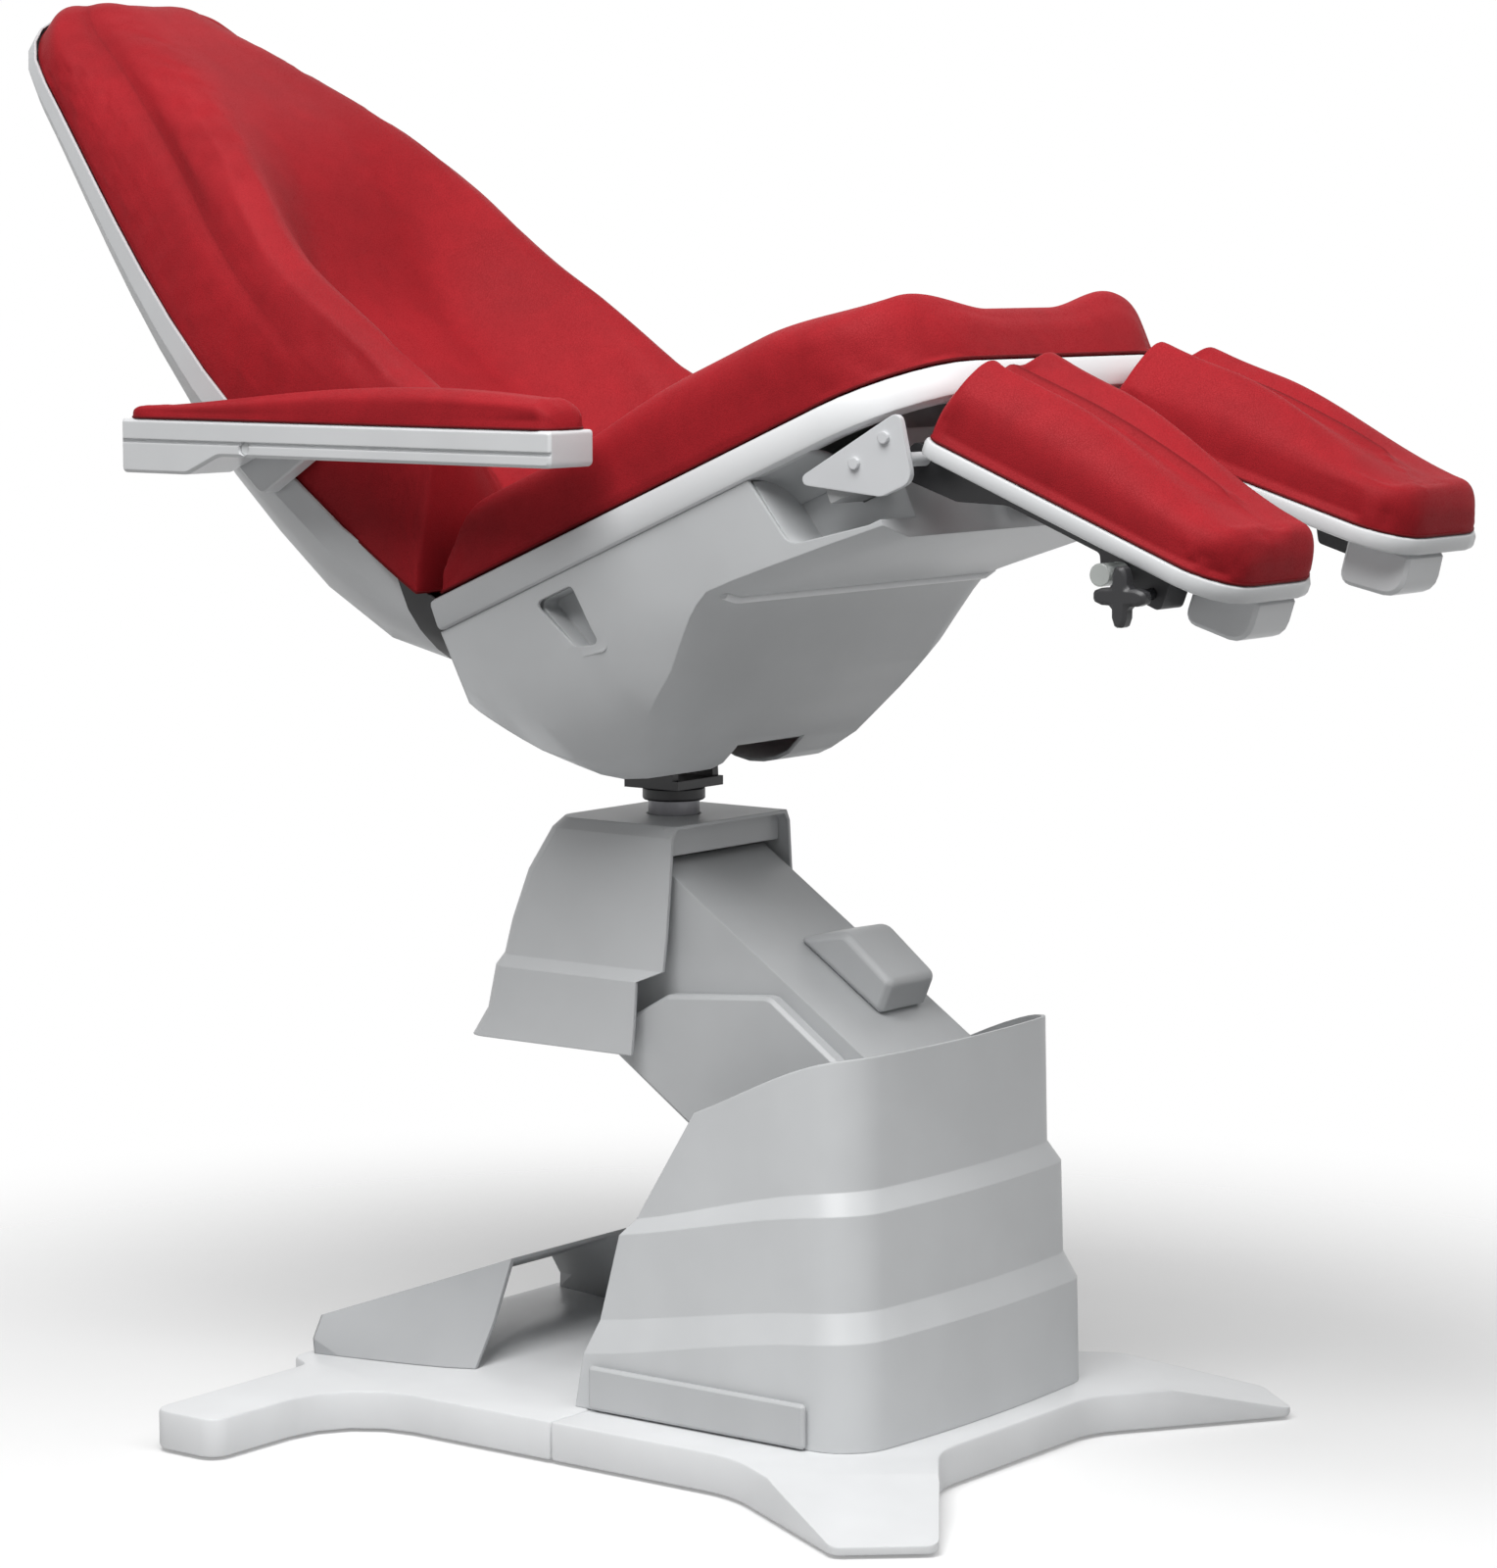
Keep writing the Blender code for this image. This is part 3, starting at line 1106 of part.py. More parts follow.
# Arm rests
def make_arm_rests():
    """Rail, pad and bracket on each side of the back."""
    pivot = Vector((0, *REST_PIVOT))
    low, high = REST_Z
    front, rear = REST_Y
    rail = outline([
        (front, low, 0.006), (rear - 0.14, low, 0.03), (rear - 0.095, low - 0.020, 0.02),
        (rear, low - 0.020, 0.006),
        (rear, high, 0.004), (front, high, 0.004),
    ])
    bracket = outline([
        (0.190, 0.028, 0.012), (0.286, 0.022, 0.012), (0.302, -0.056, 0.012), (0.214, -0.056, 0.012),
    ])
    for hand, sign in SIDES:
        x = sorted((sign * REST_X[0], sign * REST_X[1]))
        beam = prism(f"rest_rail_{hand}", rail, x[0], x[1], side, WHITE, pivot)
        soften(beam, 0.003, 1)
        face = (sign * REST_X[1] - 0.003, sign * REST_X[1] + 0.003)
        band = (low + 0.012, low + 0.016)
        groove = block(f"rail_groove_{hand}", grown(REST_Y, 0.1), band, face, side, WHITE)
        combine(beam, [groove])
        bore(beam, pivot, 0.0074)
        middle = sign * (REST_X[0] + REST_X[1]) / 2
        half = (REST_X[1] - REST_X[0]) / 2 - 0.002
        length = rear - front - 0.010
        rows = []
        for k in range(13):
            part = (1 - math.cos(math.pi * k / 12)) / 2
            along = length * part
            full = end_round(along, length, 0.02)
            crown = (0.014 + 0.026 * math.sin(math.pi * min(1.0, 0.25 + part * 0.75)) ** 1.5) * full

            def pad_place(y, z, w, middle=middle):
                return Vector((middle + w, y, z))

            shape = (half, high + GAP, crown, crown * 0.86)
            rows.append(padded_row(front + 0.004 + along, *shape, pad_place, 0.7, steps=7))
        loft(f"rest_pad_{hand}", rows, RED, pivot)
        x = sorted((sign * (BACK_HALF + BACK_EDGE + GAP), sign * (REST_X[0] - 2 * GAP)))
        mount = prism(f"rest_bracket_{hand}", bracket, x[0], x[1], back, WHITE, RECLINE)
        soften(mount, 0.002, 1)
        pin = across(f"rest_pin_{hand}", pivot, 0.036, 0.007, BRIGHT, RECLINE, sign * (REST_X[0] + 0.030))
        combine(mount, [pin], "UNION")


# Leg rests
def knob_outline(lobes=4, steps=8):
    """Star with round lobes."""
    points = []
    for k in range(lobes * steps):
        angle = 2 * math.pi * k / (lobes * steps)
        radius = KNOB_RADIUS * (0.70 + 0.30 * math.cos(lobes * angle))
        points.append((radius * math.cos(angle), radius * math.sin(angle)))
    return points


def leg_row(t, half, part, full, place, inward, steps=12):
    """Section of a leg cushion: two rolls beside a hollow that fades toward the foot."""
    points = []
    fade = ease(part, 0.15, 0.90)
    base = LEG_TRAY[1] + GAP
    for k in range(2 * steps + 1):
        angle = math.pi * k / (2 * steps)
        reach = math.copysign(abs(math.cos(angle)) ** LEG_SQUARE, math.cos(angle))
        rise = abs(math.sin(angle)) ** LEG_SQUARE
        top = LEG_FOOT_HEIGHT * fade + LEG_VALLEY * (1 - fade)
        for at, height, width in LEG_ROLLS:
            top += (height - LEG_VALLEY) * (1 - fade) * math.exp(-((-reach * inward - at) / width) ** 2)
        points.append(place(t, base + top * full * rise, -half * reach))
    return points


def make_legs():
    """Rail, tray, padding, end handle and clamp knob of each leg rest."""
    for hand, sign in SIDES:
        place = leg(hand)
        x = sorted((sign * RAIL_X[0], sign * RAIL_X[1]))
        bar = outline([
            (RAIL_T[0], RAIL_N[0], 0.014), (RAIL_WAIST[0] - 0.055, RAIL_N[0] + 0.004, 0.020),
            (RAIL_WAIST[0], RAIL_WAIST_N, 0.030), (RAIL_WAIST[1], RAIL_WAIST_N, 0.006),
            (RAIL_WAIST[1] + 0.012, RAIL_N[0], 0.006), (RAIL_T[1], RAIL_N[0], 0.006),
            (RAIL_T[1], RAIL_N[1], 0.003), (RAIL_T[0], RAIL_N[1], 0.010),
        ])
        rail = prism(f"leg_rail_{hand}", bar, x[0], x[1], place, BLACK, KNEE_POINT)
        bore(rail, KNEE_POINT, 0.0074)
        bore(rail, place(KNOB_T, KNOB_N, 0), 0.0056)
        middle = sign * LEG_X

        def across_leg(w, t, n, place=place, middle=middle):
            return place(t, n, middle + w)

        def leg_pad(t, n, w, place=place, middle=middle):
            return place(t, n, middle + w)

        tray_plan = outline([
            (-LEG_HALF, LEG_START, 0.022), (LEG_HALF, LEG_START, 0.022),
            (LEG_HALF, LEG_LENGTH, 0.055), (-LEG_HALF, LEG_LENGTH, 0.055),
        ])
        tray = prism(f"leg_tray_{hand}", tray_plan, LEG_TRAY[0], LEG_TRAY[1], across_leg, WHITE, KNEE_POINT)
        soften(tray, 0.005, 2)
        length = LEG_LENGTH - LEG_START - 0.008
        rows = []
        for k in range(15):
            part = (1 - math.cos(math.pi * k / 14)) / 2
            along = length * part
            half = corner_round(along, length, LEG_HALF - 0.004, 0.055)
            half = min(half, corner_round(length - along, length, LEG_HALF - 0.004, 0.02))
            full = end_round(along, 2 * length, 0.014)
            full = min(full, end_round(along + length, 2 * length, 0.028))
            t = LEG_START + 0.004 + along
            rows.append(leg_row(t, half, part, full, leg_pad, -sign))
        loft(f"leg_cushion_{hand}", rows, RED, KNEE_POINT)
        pod = outline([
            (0.300, LEG_TRAY[0] - GAP, 0), (0.302, -0.040, 0.012), (0.375, -0.034, 0.022),
            (0.372, LEG_TRAY[0] - GAP, 0),
        ])
        bush_at = place(BUSH_T, BUSH_N, 0)
        bush = (RAIL_X[1] + GAP + BUSH_X) / 2
        across(f"leg_bush_{hand}", bush_at, BUSH_X - bush, BUSH_RADIUS, CLEAR, KNEE_POINT, sign * bush)
        low = sign * 0.135
        handle = prism(f"leg_handle_{hand}", pod, low - 0.036, low + 0.036, place, WHITE, KNEE_POINT)
        soften(handle, 0.004, 1)
        centre = place(KNOB_T, KNOB_N, 0)
        stem = sign * (LEG_X + LEG_HALF + 0.001)

        def knob_place(u, v, w, centre=centre):
            return centre + Vector((w, u, v))

        x = sorted((stem, stem + sign * 0.016))
        knob = prism(f"leg_knob_{hand}", knob_outline(), x[0], x[1], knob_place, BLACK, centre)
        soften(knob, 0.003, 1)
        stem = across(f"knob_stem_{hand}", centre, 0.030, 0.005, BRIGHT, centre, stem - sign * 0.028)
        combine(knob, [stem], "UNION")


make_base()
make_rear_cover()
make_column()
make_links()
make_arm()
make_head()
make_swivel()
make_seat_shell()
make_seat_frame()
make_knees()
make_seat_cushion()
make_back()
make_arm_rests()
make_legs()
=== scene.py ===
"""Podiatry chair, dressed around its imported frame. Metres; +Z is up and the sitter faces -Y."""
import json
import math

import bmesh
import bpy
import numpy as np
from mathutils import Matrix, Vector
from mathutils.bvhtree import BVHTree


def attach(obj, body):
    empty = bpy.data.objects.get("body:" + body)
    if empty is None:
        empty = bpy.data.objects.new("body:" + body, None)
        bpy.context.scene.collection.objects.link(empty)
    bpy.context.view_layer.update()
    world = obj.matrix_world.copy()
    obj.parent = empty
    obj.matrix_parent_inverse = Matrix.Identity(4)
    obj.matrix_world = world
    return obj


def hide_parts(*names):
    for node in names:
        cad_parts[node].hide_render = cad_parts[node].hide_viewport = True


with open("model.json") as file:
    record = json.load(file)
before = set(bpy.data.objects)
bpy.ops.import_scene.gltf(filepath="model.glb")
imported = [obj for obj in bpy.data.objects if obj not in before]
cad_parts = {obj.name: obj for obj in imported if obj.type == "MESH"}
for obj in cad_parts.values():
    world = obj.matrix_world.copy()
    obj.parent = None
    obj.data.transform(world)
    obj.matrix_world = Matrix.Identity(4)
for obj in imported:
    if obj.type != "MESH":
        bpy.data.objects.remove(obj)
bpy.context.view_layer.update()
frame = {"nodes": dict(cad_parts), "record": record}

# Studio. The chair stands on a pale floor sheet in a white room. The main softbox hangs high on the
# side that the camera sees, with weak ones overhead and in front, and the lens is a long one.
LENS = 107.55
CAMERA_PLACE = (-3.937, -2.842, 1.25)
CAMERA_TURN = math.radians(53.0)
CAMERA_DIP = math.radians(6.56)
SOFTBOXES = (  # name, place, target, size and power
    ("overhead", (-0.4, 0.0, 3.6), (0.0, 0.1, 0.5), 2.4, 14.0),
    ("front", (-0.4, -2.6, 3.4), (0.0, 0.0, 0.5), 2.0, 36.0),
    ("left", (-2.1, -0.5, 3.8), (0.0, 0.1, 0.5), 2.4, 134.0),
)
WHITE = (1.0, 1.0, 1.0, 1.0)
AMBIENT = 0.19
FLOOR_HALF = 2.6
FLOOR_LEVEL = -0.0004
FLOOR_MIDDLE = (0.0, 0.1, 0.0)
FLOOR_FADE = (0.75, 1.75)
FLOOR_GLOW = 0.25
FLOOR_BOUNCE = (0.70, 0.70, 0.70, 1.0)


class Wire:
    """A socket of a node tree, so that shader maths is written as plain expressions."""

    def __init__(self, tree, socket):
        self.tree = tree
        self.socket = socket

    @classmethod
    def node(cls, tree, kind, settings=None, sockets=None, out=0):
        """Adds a node, makes its settings, then gives its sockets values or links."""
        made = tree.nodes.new("ShaderNode" + kind)
        for key, value in (settings or {}).items():
            setattr(made, key, value)
        for key, value in (sockets or {}).items():
            if isinstance(value, Wire):
                tree.links.new(value.socket, made.inputs[key])
            else:
                made.inputs[key].default_value = value
        return cls(tree, made.outputs[out])

    def maths(self, operation, first, second):
        return Wire.node(self.tree, "Math", {"operation": operation}, {0: first, 1: second})

    def __add__(self, other):
        return self.maths("ADD", self, other)

    def __sub__(self, other):
        return self.maths("SUBTRACT", self, other)

    def __rsub__(self, other):
        return self.maths("SUBTRACT", other, self)

    def __mul__(self, other):
        return self.maths("MULTIPLY", self, other)

    __radd__ = __add__
    __rmul__ = __mul__

    def most(self, other):
        return self.maths("MAXIMUM", self, other)

    def spread(self, low, high):
        """This value between low and high, read smoothly as 0 to 1."""
        sockets = {0: self, 1: low, 2: high}
        return Wire.node(self.tree, "MapRange", {"interpolation_type": "SMOOTHSTEP"}, sockets)

    def blend(self, first, second):
        """Colour that goes from first to second as this value goes from 0 to 1."""
        return Wire.node(self.tree, "Mix", {"data_type": "RGBA"}, {0: self, 6: first, 7: second}, 2)

    def feed(self, socket):
        self.tree.links.new(self.socket, socket)


def stand(name, data):
    """Puts an object with this data into the scene."""
    made = bpy.data.objects.new(name, data)
    scene.collection.objects.link(made)
    return made


scene = bpy.context.scene
scene.view_settings.view_transform = "Standard"
camera = stand("camera", bpy.data.cameras.new("camera"))
camera.data.lens = LENS
camera.location = CAMERA_PLACE
ahead = Vector((math.sin(CAMERA_TURN), math.cos(CAMERA_TURN), -math.tan(CAMERA_DIP)))
camera.rotation_euler = ahead.to_track_quat("-Z", "Y").to_euler()
scene.camera = camera

for name, place, target, size, power in SOFTBOXES:
    lamp = stand("softbox_" + name, bpy.data.lights.new("softbox_" + name, "AREA"))
    lamp.data.size = size
    lamp.data.energy = power
    lamp.location = place
    lamp.rotation_euler = (Vector(target) - Vector(place)).to_track_quat("-Z", "Y").to_euler()

world = bpy.data.worlds.new("studio")
world.use_nodes = True
scene.world = world
sky = world.node_tree
sky.nodes.clear()
direct, mirrored, through = [Wire.node(sky, "LightPath", out=key)
                             for key in ("Is Camera Ray", "Is Glossy Ray", "Is Transmission Ray")]
seen = direct.most(mirrored).most(through)
white_wall = Wire.node(sky, "Background", sockets={"Color": WHITE, "Strength": 1.0})
soft_room = Wire.node(sky, "Background", sockets={"Color": WHITE, "Strength": AMBIENT})
world_shader = Wire.node(sky, "MixShader", sockets={0: seen, 1: soft_room, 2: white_wall})
world_shader.feed(sky.nodes.new("ShaderNodeOutputWorld").inputs["Surface"])

sheet = bpy.data.meshes.new("floor_sheet")
corners = ((-1, -1), (1, -1), (1, 1), (-1, 1))
sheet.from_pydata([(x * FLOOR_HALF, y * FLOOR_HALF, FLOOR_LEVEL) for x, y in corners], [], [(0, 1, 2, 3)])
floor = stand("floor_sheet", sheet)
floor_finish = bpy.data.materials.new("floor_sheet")
floor_finish.use_nodes = True
tree = floor_finish.node_tree
tree.nodes.remove(tree.nodes["Principled BSDF"])
pale = Wire.node(tree, "BsdfDiffuse", sockets={"Color": WHITE})
plain = Wire.node(tree, "Emission", sockets={"Color": WHITE, "Strength": 1.0})
shown = Wire.node(tree, "MixShader", sockets={0: FLOOR_GLOW, 1: pale, 2: plain})
lent = Wire.node(tree, "BsdfDiffuse", sockets={"Color": FLOOR_BOUNCE})
direct = Wire.node(tree, "LightPath", out="Is Camera Ray")
matt = Wire.node(tree, "MixShader", sockets={0: direct, 1: lent, 2: shown})
spot = Wire.node(tree, "TexCoord", out="Object")
away = Wire.node(tree, "VectorMath", {"operation": "DISTANCE"}, {0: spot, 1: FLOOR_MIDDLE}, "Value")
clear = Wire.node(tree, "BsdfTransparent")
floor_shader = Wire.node(tree, "MixShader", sockets={0: away.spread(*FLOOR_FADE), 1: matt, 2: clear})
floor_shader.feed(tree.nodes["Material Output"].inputs["Surface"])
sheet.materials.append(floor_finish)

# Base. Two satin white ABS covers meet at a butt joint over a steel floor plate, and run out
# into four low feet. They are snapped on posts of the plate, so no screws show; the wall of the
# rear one is filled out inside the corners where its feet start.
BASE_WHITE = (0.80, 0.81, 0.82)
SATIN = 0.36
MOULD_CLOUDS = 7.0
MOULD_SPARKS = 850.0
MOULD_DEPTH = 0.0004
MOULD_EDGE = 0.0022
FLAT_AGREES = 0.995
WELD = 0.00002
FLAT_ANGLE = math.radians(0.4)
FILL_PLAN = ((0.2443, 0.5482), (0.2474, 0.5439), (0.2515, 0.5406), (0.2515, 0.5300), (0.2360, 0.5300),
             (0.2360, 0.5482))
FILL_HEIGHT = (0.0072, 0.0400)
EASED_STEPS = 2
body_of = {node: body for body, nodes in frame["record"]["behaviour"]["bodies"].items() for node in nodes}


def blank_finish(name):
    """A new material, with its node tree, its shader and the piece's own coordinates."""
    made = bpy.data.materials.new(name)
    made.use_nodes = True
    tree = made.node_tree
    return made, tree, tree.nodes["Principled BSDF"], Wire.node(tree, "TexCoord", out="Object")


def toned(colour, gain, lift=0.0):
    """A colour made lighter or darker, with its alpha."""
    return tuple(min(1.0, c * gain + lift) for c in colour) + (1.0,)


def noise(place, scale, detail, out=0):
    """Noise of this many grains a metre."""
    sockets = {"Vector": place, "Scale": scale, "Detail": detail}
    return Wire.node(place.tree, "TexNoise", sockets=sockets, out=out)


def edge_mask(tree, radius, turn):
    """Normals that are rounded over a piece's edges, and a mask of those edges."""
    rounded = Wire.node(tree, "Bevel", {"samples": 4}, {"Radius": radius})
    straight = Wire.node(tree, "NewGeometry", out="Normal")
    agree = Wire.node(tree, "VectorMath", {"operation": "DOT_PRODUCT"}, {0: rounded, 1: straight}, "Value")
    return rounded, agree.spread(FLAT_AGREES, turn)


def bumped(shader, height, strength, depth, **normal):
    """Lays fine relief on a finish."""
    sockets = {"Strength": strength, "Distance": depth, "Height": height, **normal}
    Wire.node(height.tree, "Bump", sockets=sockets).feed(shader.inputs["Normal"])


def moulded(name, colour, roughness, grain=0.05, turns_to=None):
    """Injection moulded plastic: fine spark grain, faint flow clouding and polished edges. Where a
    piece changes tone along its length, its attribute "front" leads to the second colour."""
    made, tree, shader, place = blank_finish(name)
    cloud = noise(place, MOULD_CLOUDS, 3.0)
    spark = noise(place, MOULD_SPARKS, 2.0)
    rounded, edge = edge_mask(tree, MOULD_EDGE, 0.90)
    tint = cloud.spread(0.3, 0.7).blend(toned(colour, 0.965), toned(colour, 1.03))
    if turns_to:
        front = Wire.node(tree, "Attribute", {"attribute_name": "front"}, out="Fac")
        tint = front.blend(tint, toned(turns_to, 1.0))
    (edge * 0.35).blend(tint, toned(colour, 1.10)).feed(shader.inputs["Base Color"])
    matt = roughness + (cloud - 0.5) * 0.16 + (spark - 0.5) * 0.10 - edge * 0.08
    matt.feed(shader.inputs["Roughness"])
    bumped(shader, spark, grain, MOULD_DEPTH, Normal=rounded)
    return made


def settle(piece):
    """Turns a piece's modifiers into its plain mesh."""
    plain = bpy.data.meshes.new_from_object(piece.evaluated_get(bpy.context.evaluated_depsgraph_get()))
    piece.modifiers.clear()
    piece.data = plain
    plain.name = piece.name


def smooth_copy(node, finish, corner=34.0, edge=0.0, fill=None):
    """Stands in for a packed cover with a welded, smoothly shaded copy. Its corners can be eased, and
    another object's form can be added to it."""
    solid = bmesh.new()
    solid.from_mesh(frame["nodes"][node].data)
    bmesh.ops.remove_doubles(solid, verts=solid.verts, dist=WELD)
    bmesh.ops.dissolve_limit(solid, angle_limit=FLAT_ANGLE, verts=solid.verts, edges=solid.edges)
    solid.verts.index_update()
    mesh = bpy.data.meshes.new(node + "_skin")
    mesh.from_pydata([v.co for v in solid.verts], [], [[v.index for v in f.verts] for f in solid.faces])
    solid.free()
    mesh.materials.append(finish)
    mesh.shade_smooth()
    mesh.set_sharp_from_angle(angle=math.radians(corner))
    piece = stand(node + "_skin", mesh)
    if edge:
        eased = piece.modifiers.new("eased_edges", "BEVEL")
        eased.width = edge
        eased.segments = EASED_STEPS
        eased.limit_method = "ANGLE"
        eased.angle_limit = math.radians(corner)
        piece.modifiers.new("even_faces", "WEIGHTED_NORMAL").keep_sharp = True
    if fill:
        joined = piece.modifiers.new("fill", "BOOLEAN")
        joined.operation = "UNION"
        joined.object = fill
    if edge or fill:
        settle(piece)
    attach(piece, body_of[node])
    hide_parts(node)
    return piece


prisms = bmesh.new()
for side in (-1.0, 1.0):
    foot, top = [[prisms.verts.new((side * x, y, z)) for x, y in FILL_PLAN] for z in FILL_HEIGHT]
    prisms.faces.new(foot)
    prisms.faces.new(top)
    for k in range(len(FILL_PLAN)):
        prisms.faces.new((foot[k - 1], foot[k], top[k], top[k - 1]))
bmesh.ops.recalc_face_normals(prisms, faces=prisms.faces)
corner_fill = stand("corner_fill", bpy.data.meshes.new("corner_fill"))
prisms.to_mesh(corner_fill.data)
prisms.free()
base_white = moulded("base_white", BASE_WHITE, SATIN)
smooth_copy("base_cover_front", base_white)
smooth_copy("base_cover_rear", base_white, fill=corner_fill)
bpy.data.objects.remove(corner_fill)

# Rear cover and column. Light grey ABS mouldings: a trough behind the column, and the three-tier
# column itself with its bare side plates, pressed over the steel cheeks inside. The trough and the
# side plates are painted darker greys than the column as shade.
COLUMN_GREY = (0.635, 0.648, 0.658)
# painted shade: a darker copy of the column's grey, for the parts that sit in shade under the seat
SHADED_GREY = (0.545, 0.556, 0.565)
# painted shade: a still darker grey for the trough, which lies in shade under the seat and back
TROUGH_SHADED_GREY = (0.43, 0.44, 0.45)
COLUMN_MATT = 0.42
shaded_grey = moulded("shaded_grey", SHADED_GREY, COLUMN_MATT)
smooth_copy("column_cover", moulded("column_grey", COLUMN_GREY, COLUMN_MATT), corner=15.0)
for node in ("side_plate_r", "side_plate_l"):
    smooth_copy(node, shaded_grey, corner=15.0)
smooth_copy("rear_cover", moulded("trough_shaded_grey", TROUGH_SHADED_GREY, roughness=0.45), corner=15.0)

# Lift steelwork. Floor plate, column cheeks, links and frames are cut and folded steel with a
# dark powder coat, and all of it sits behind the mouldings; the pan under the seat is pale.
COAT_GREY = (0.055, 0.058, 0.062)
PAN_GREY = (0.36, 0.365, 0.37)
COAT_MATT = 0.46
COAT_PEEL = 420.0
COAT_PATCHES = 22.0
COAT_RELIEF = 0.12
COAT_DEPTH = 0.0005
COAT_EDGE = 0.0012


def powder_coat(name, colour):
    """Powder coat on steel: orange peel, a slight sparkle of tone and thin, paler edges."""
    made, tree, shader, place = blank_finish(name)
    peel = noise(place, COAT_PEEL, 1.0)
    patch = noise(place, COAT_PATCHES, 4.0)
    rounded, thin = edge_mask(tree, COAT_EDGE, 0.85)
    edge = thin * patch.spread(0.4, 0.7)
    tint = patch.spread(0.3, 0.7).blend(toned(colour, 0.85), toned(colour, 1.18))
    (edge * 0.5).blend(tint, toned(colour, 2.2, 0.03)).feed(shader.inputs["Base Color"])
    (COAT_MATT + (patch - 0.5) * 0.2 - edge * 0.1).feed(shader.inputs["Roughness"])
    bumped(shader, peel, COAT_RELIEF, COAT_DEPTH, Normal=rounded)
    return made


def finish_nodes(finish, *nodes):
    """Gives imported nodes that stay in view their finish."""
    for node in nodes:
        mesh = frame["nodes"][node].data
        mesh.materials.clear()
        mesh.materials.append(finish)


dark_coat = powder_coat("dark_coat", COAT_GREY)
finish_nodes(dark_coat, "floor_plate", "column_frame", "upper_link", "lower_link", "head_frame",
             "back_frame")
pale_coat = powder_coat("pale_coat", PAN_GREY)
finish_nodes(pale_coat, "seat_frame")

# Pins, rod and swivel. Ground steel, turned on a lathe, so fine marks run round each axis;
# the actuator tube is black anodised, and the yoke on the swivel is blackened steel.
GROUND_STEEL = (0.58, 0.585, 0.60)
SPINDLE_STEEL = (0.16, 0.16, 0.17)
YOKE_BLACK = (0.022, 0.022, 0.024)
LATHE_MARKS = 900.0
LATHE_RELIEF = 0.06
LATHE_DEPTH = 0.0002
STEEL_STAINS = 35.0
ALONG_X = (1.0, 0.04, 0.04)
ALONG_Z = (0.04, 0.04, 1.0)


def turned_steel(name, colour, roughness, stretch):
    """Bright steel with fine grinding marks along one direction and faint stains."""
    made, tree, shader, place = blank_finish(name)
    shader.inputs["Metallic"].default_value = 1.0
    drawn = Wire.node(tree, "Mapping", sockets={"Vector": place, "Scale": stretch})
    marks = noise(drawn, LATHE_MARKS, 2.0)
    stain = noise(place, STEEL_STAINS, 4.0)
    tint = stain.spread(0.35, 0.75).blend(toned(colour, 1.0), toned(colour, 0.78))
    tint.feed(shader.inputs["Base Color"])
    (roughness + (marks - 0.5) * 0.16 + (stain - 0.5) * 0.12).feed(shader.inputs["Roughness"])
    bumped(shader, marks, LATHE_RELIEF, LATHE_DEPTH)
    return made


ground_pin = turned_steel("ground_pin", GROUND_STEEL, roughness=0.28, stretch=ALONG_X)
turned_spindle = turned_steel("turned_spindle", SPINDLE_STEEL, roughness=0.34, stretch=ALONG_Z)
black_yoke = powder_coat("black_yoke", YOKE_BLACK)
for node in ("lift_pin", "link_pin", "actuator_pin", "rod_pin", "head_pin", "head_link_pin", "tilt_pin",
             "actuator_rod"):
    smooth_copy(node, ground_pin)
smooth_copy("swivel_spindle", turned_spindle)
smooth_copy("swivel_boss", black_yoke)
smooth_copy("actuator_tube", black_yoke)
finish_nodes(black_yoke, "tilt_yoke")

# Lift arm and head. Grey ABS mouldings, painted a darker grey than the column as shade, are clipped
# to the links and the head block; the motor cover on top of the arm has well rounded edges.
for node in ("arm_cover", "arm_side_r", "arm_side_l", "head_cover"):
    smooth_copy(node, shaded_grey, corner=18.0)
smooth_copy("motor_cover", shaded_grey, corner=30.0, edge=0.0045)

# Seat shell and rim. A grey ABS moulding, painted a darker grey than the column as shade, with knee
# pockets and grip recesses hangs under a band that is screwed to the pan from below, grey at the
# rear and white in front, its rear grey painted darker than the shell as shade. A raised
# moulding line, white as a painted highlight, crosses the underside where the belly ends.
SEAT_ORIGIN = (0.335, 0.885)
SEAT_TILT = math.radians(23.0)
# painted shade: the band's rear grey is darker than the shell's, so its upturned face reads as dark as the
# shell; it turns to the base's white in front
RIM_SHADED_GREY = (0.47, 0.48, 0.49)
RIM_TURN = (0.16, 0.40)
LINE_RADIUS = 0.0052
LINE_SIDES = 10
LINE_HALF = 0.238
LINE_S = 0.338
LINE_BELOW = -0.4
LINE_POINTS = 81
LINE_TAPER = 8.0
LINE_THIN = 0.10


def seat_at(across, along, up):
    """Point that is given along the leaning seat and square to it."""
    return (across, SEAT_ORIGIN[0] - along * math.cos(SEAT_TILT) + up * math.sin(SEAT_TILT),
            SEAT_ORIGIN[1] + along * math.sin(SEAT_TILT) + up * math.cos(SEAT_TILT))


def mark_points(mesh, title, values):
    """Stores a value at each point of a mesh."""
    values = np.ravel(values).astype(np.float32)
    mesh.attributes.new(title, "FLOAT", "POINT").data.foreach_set("value", values)


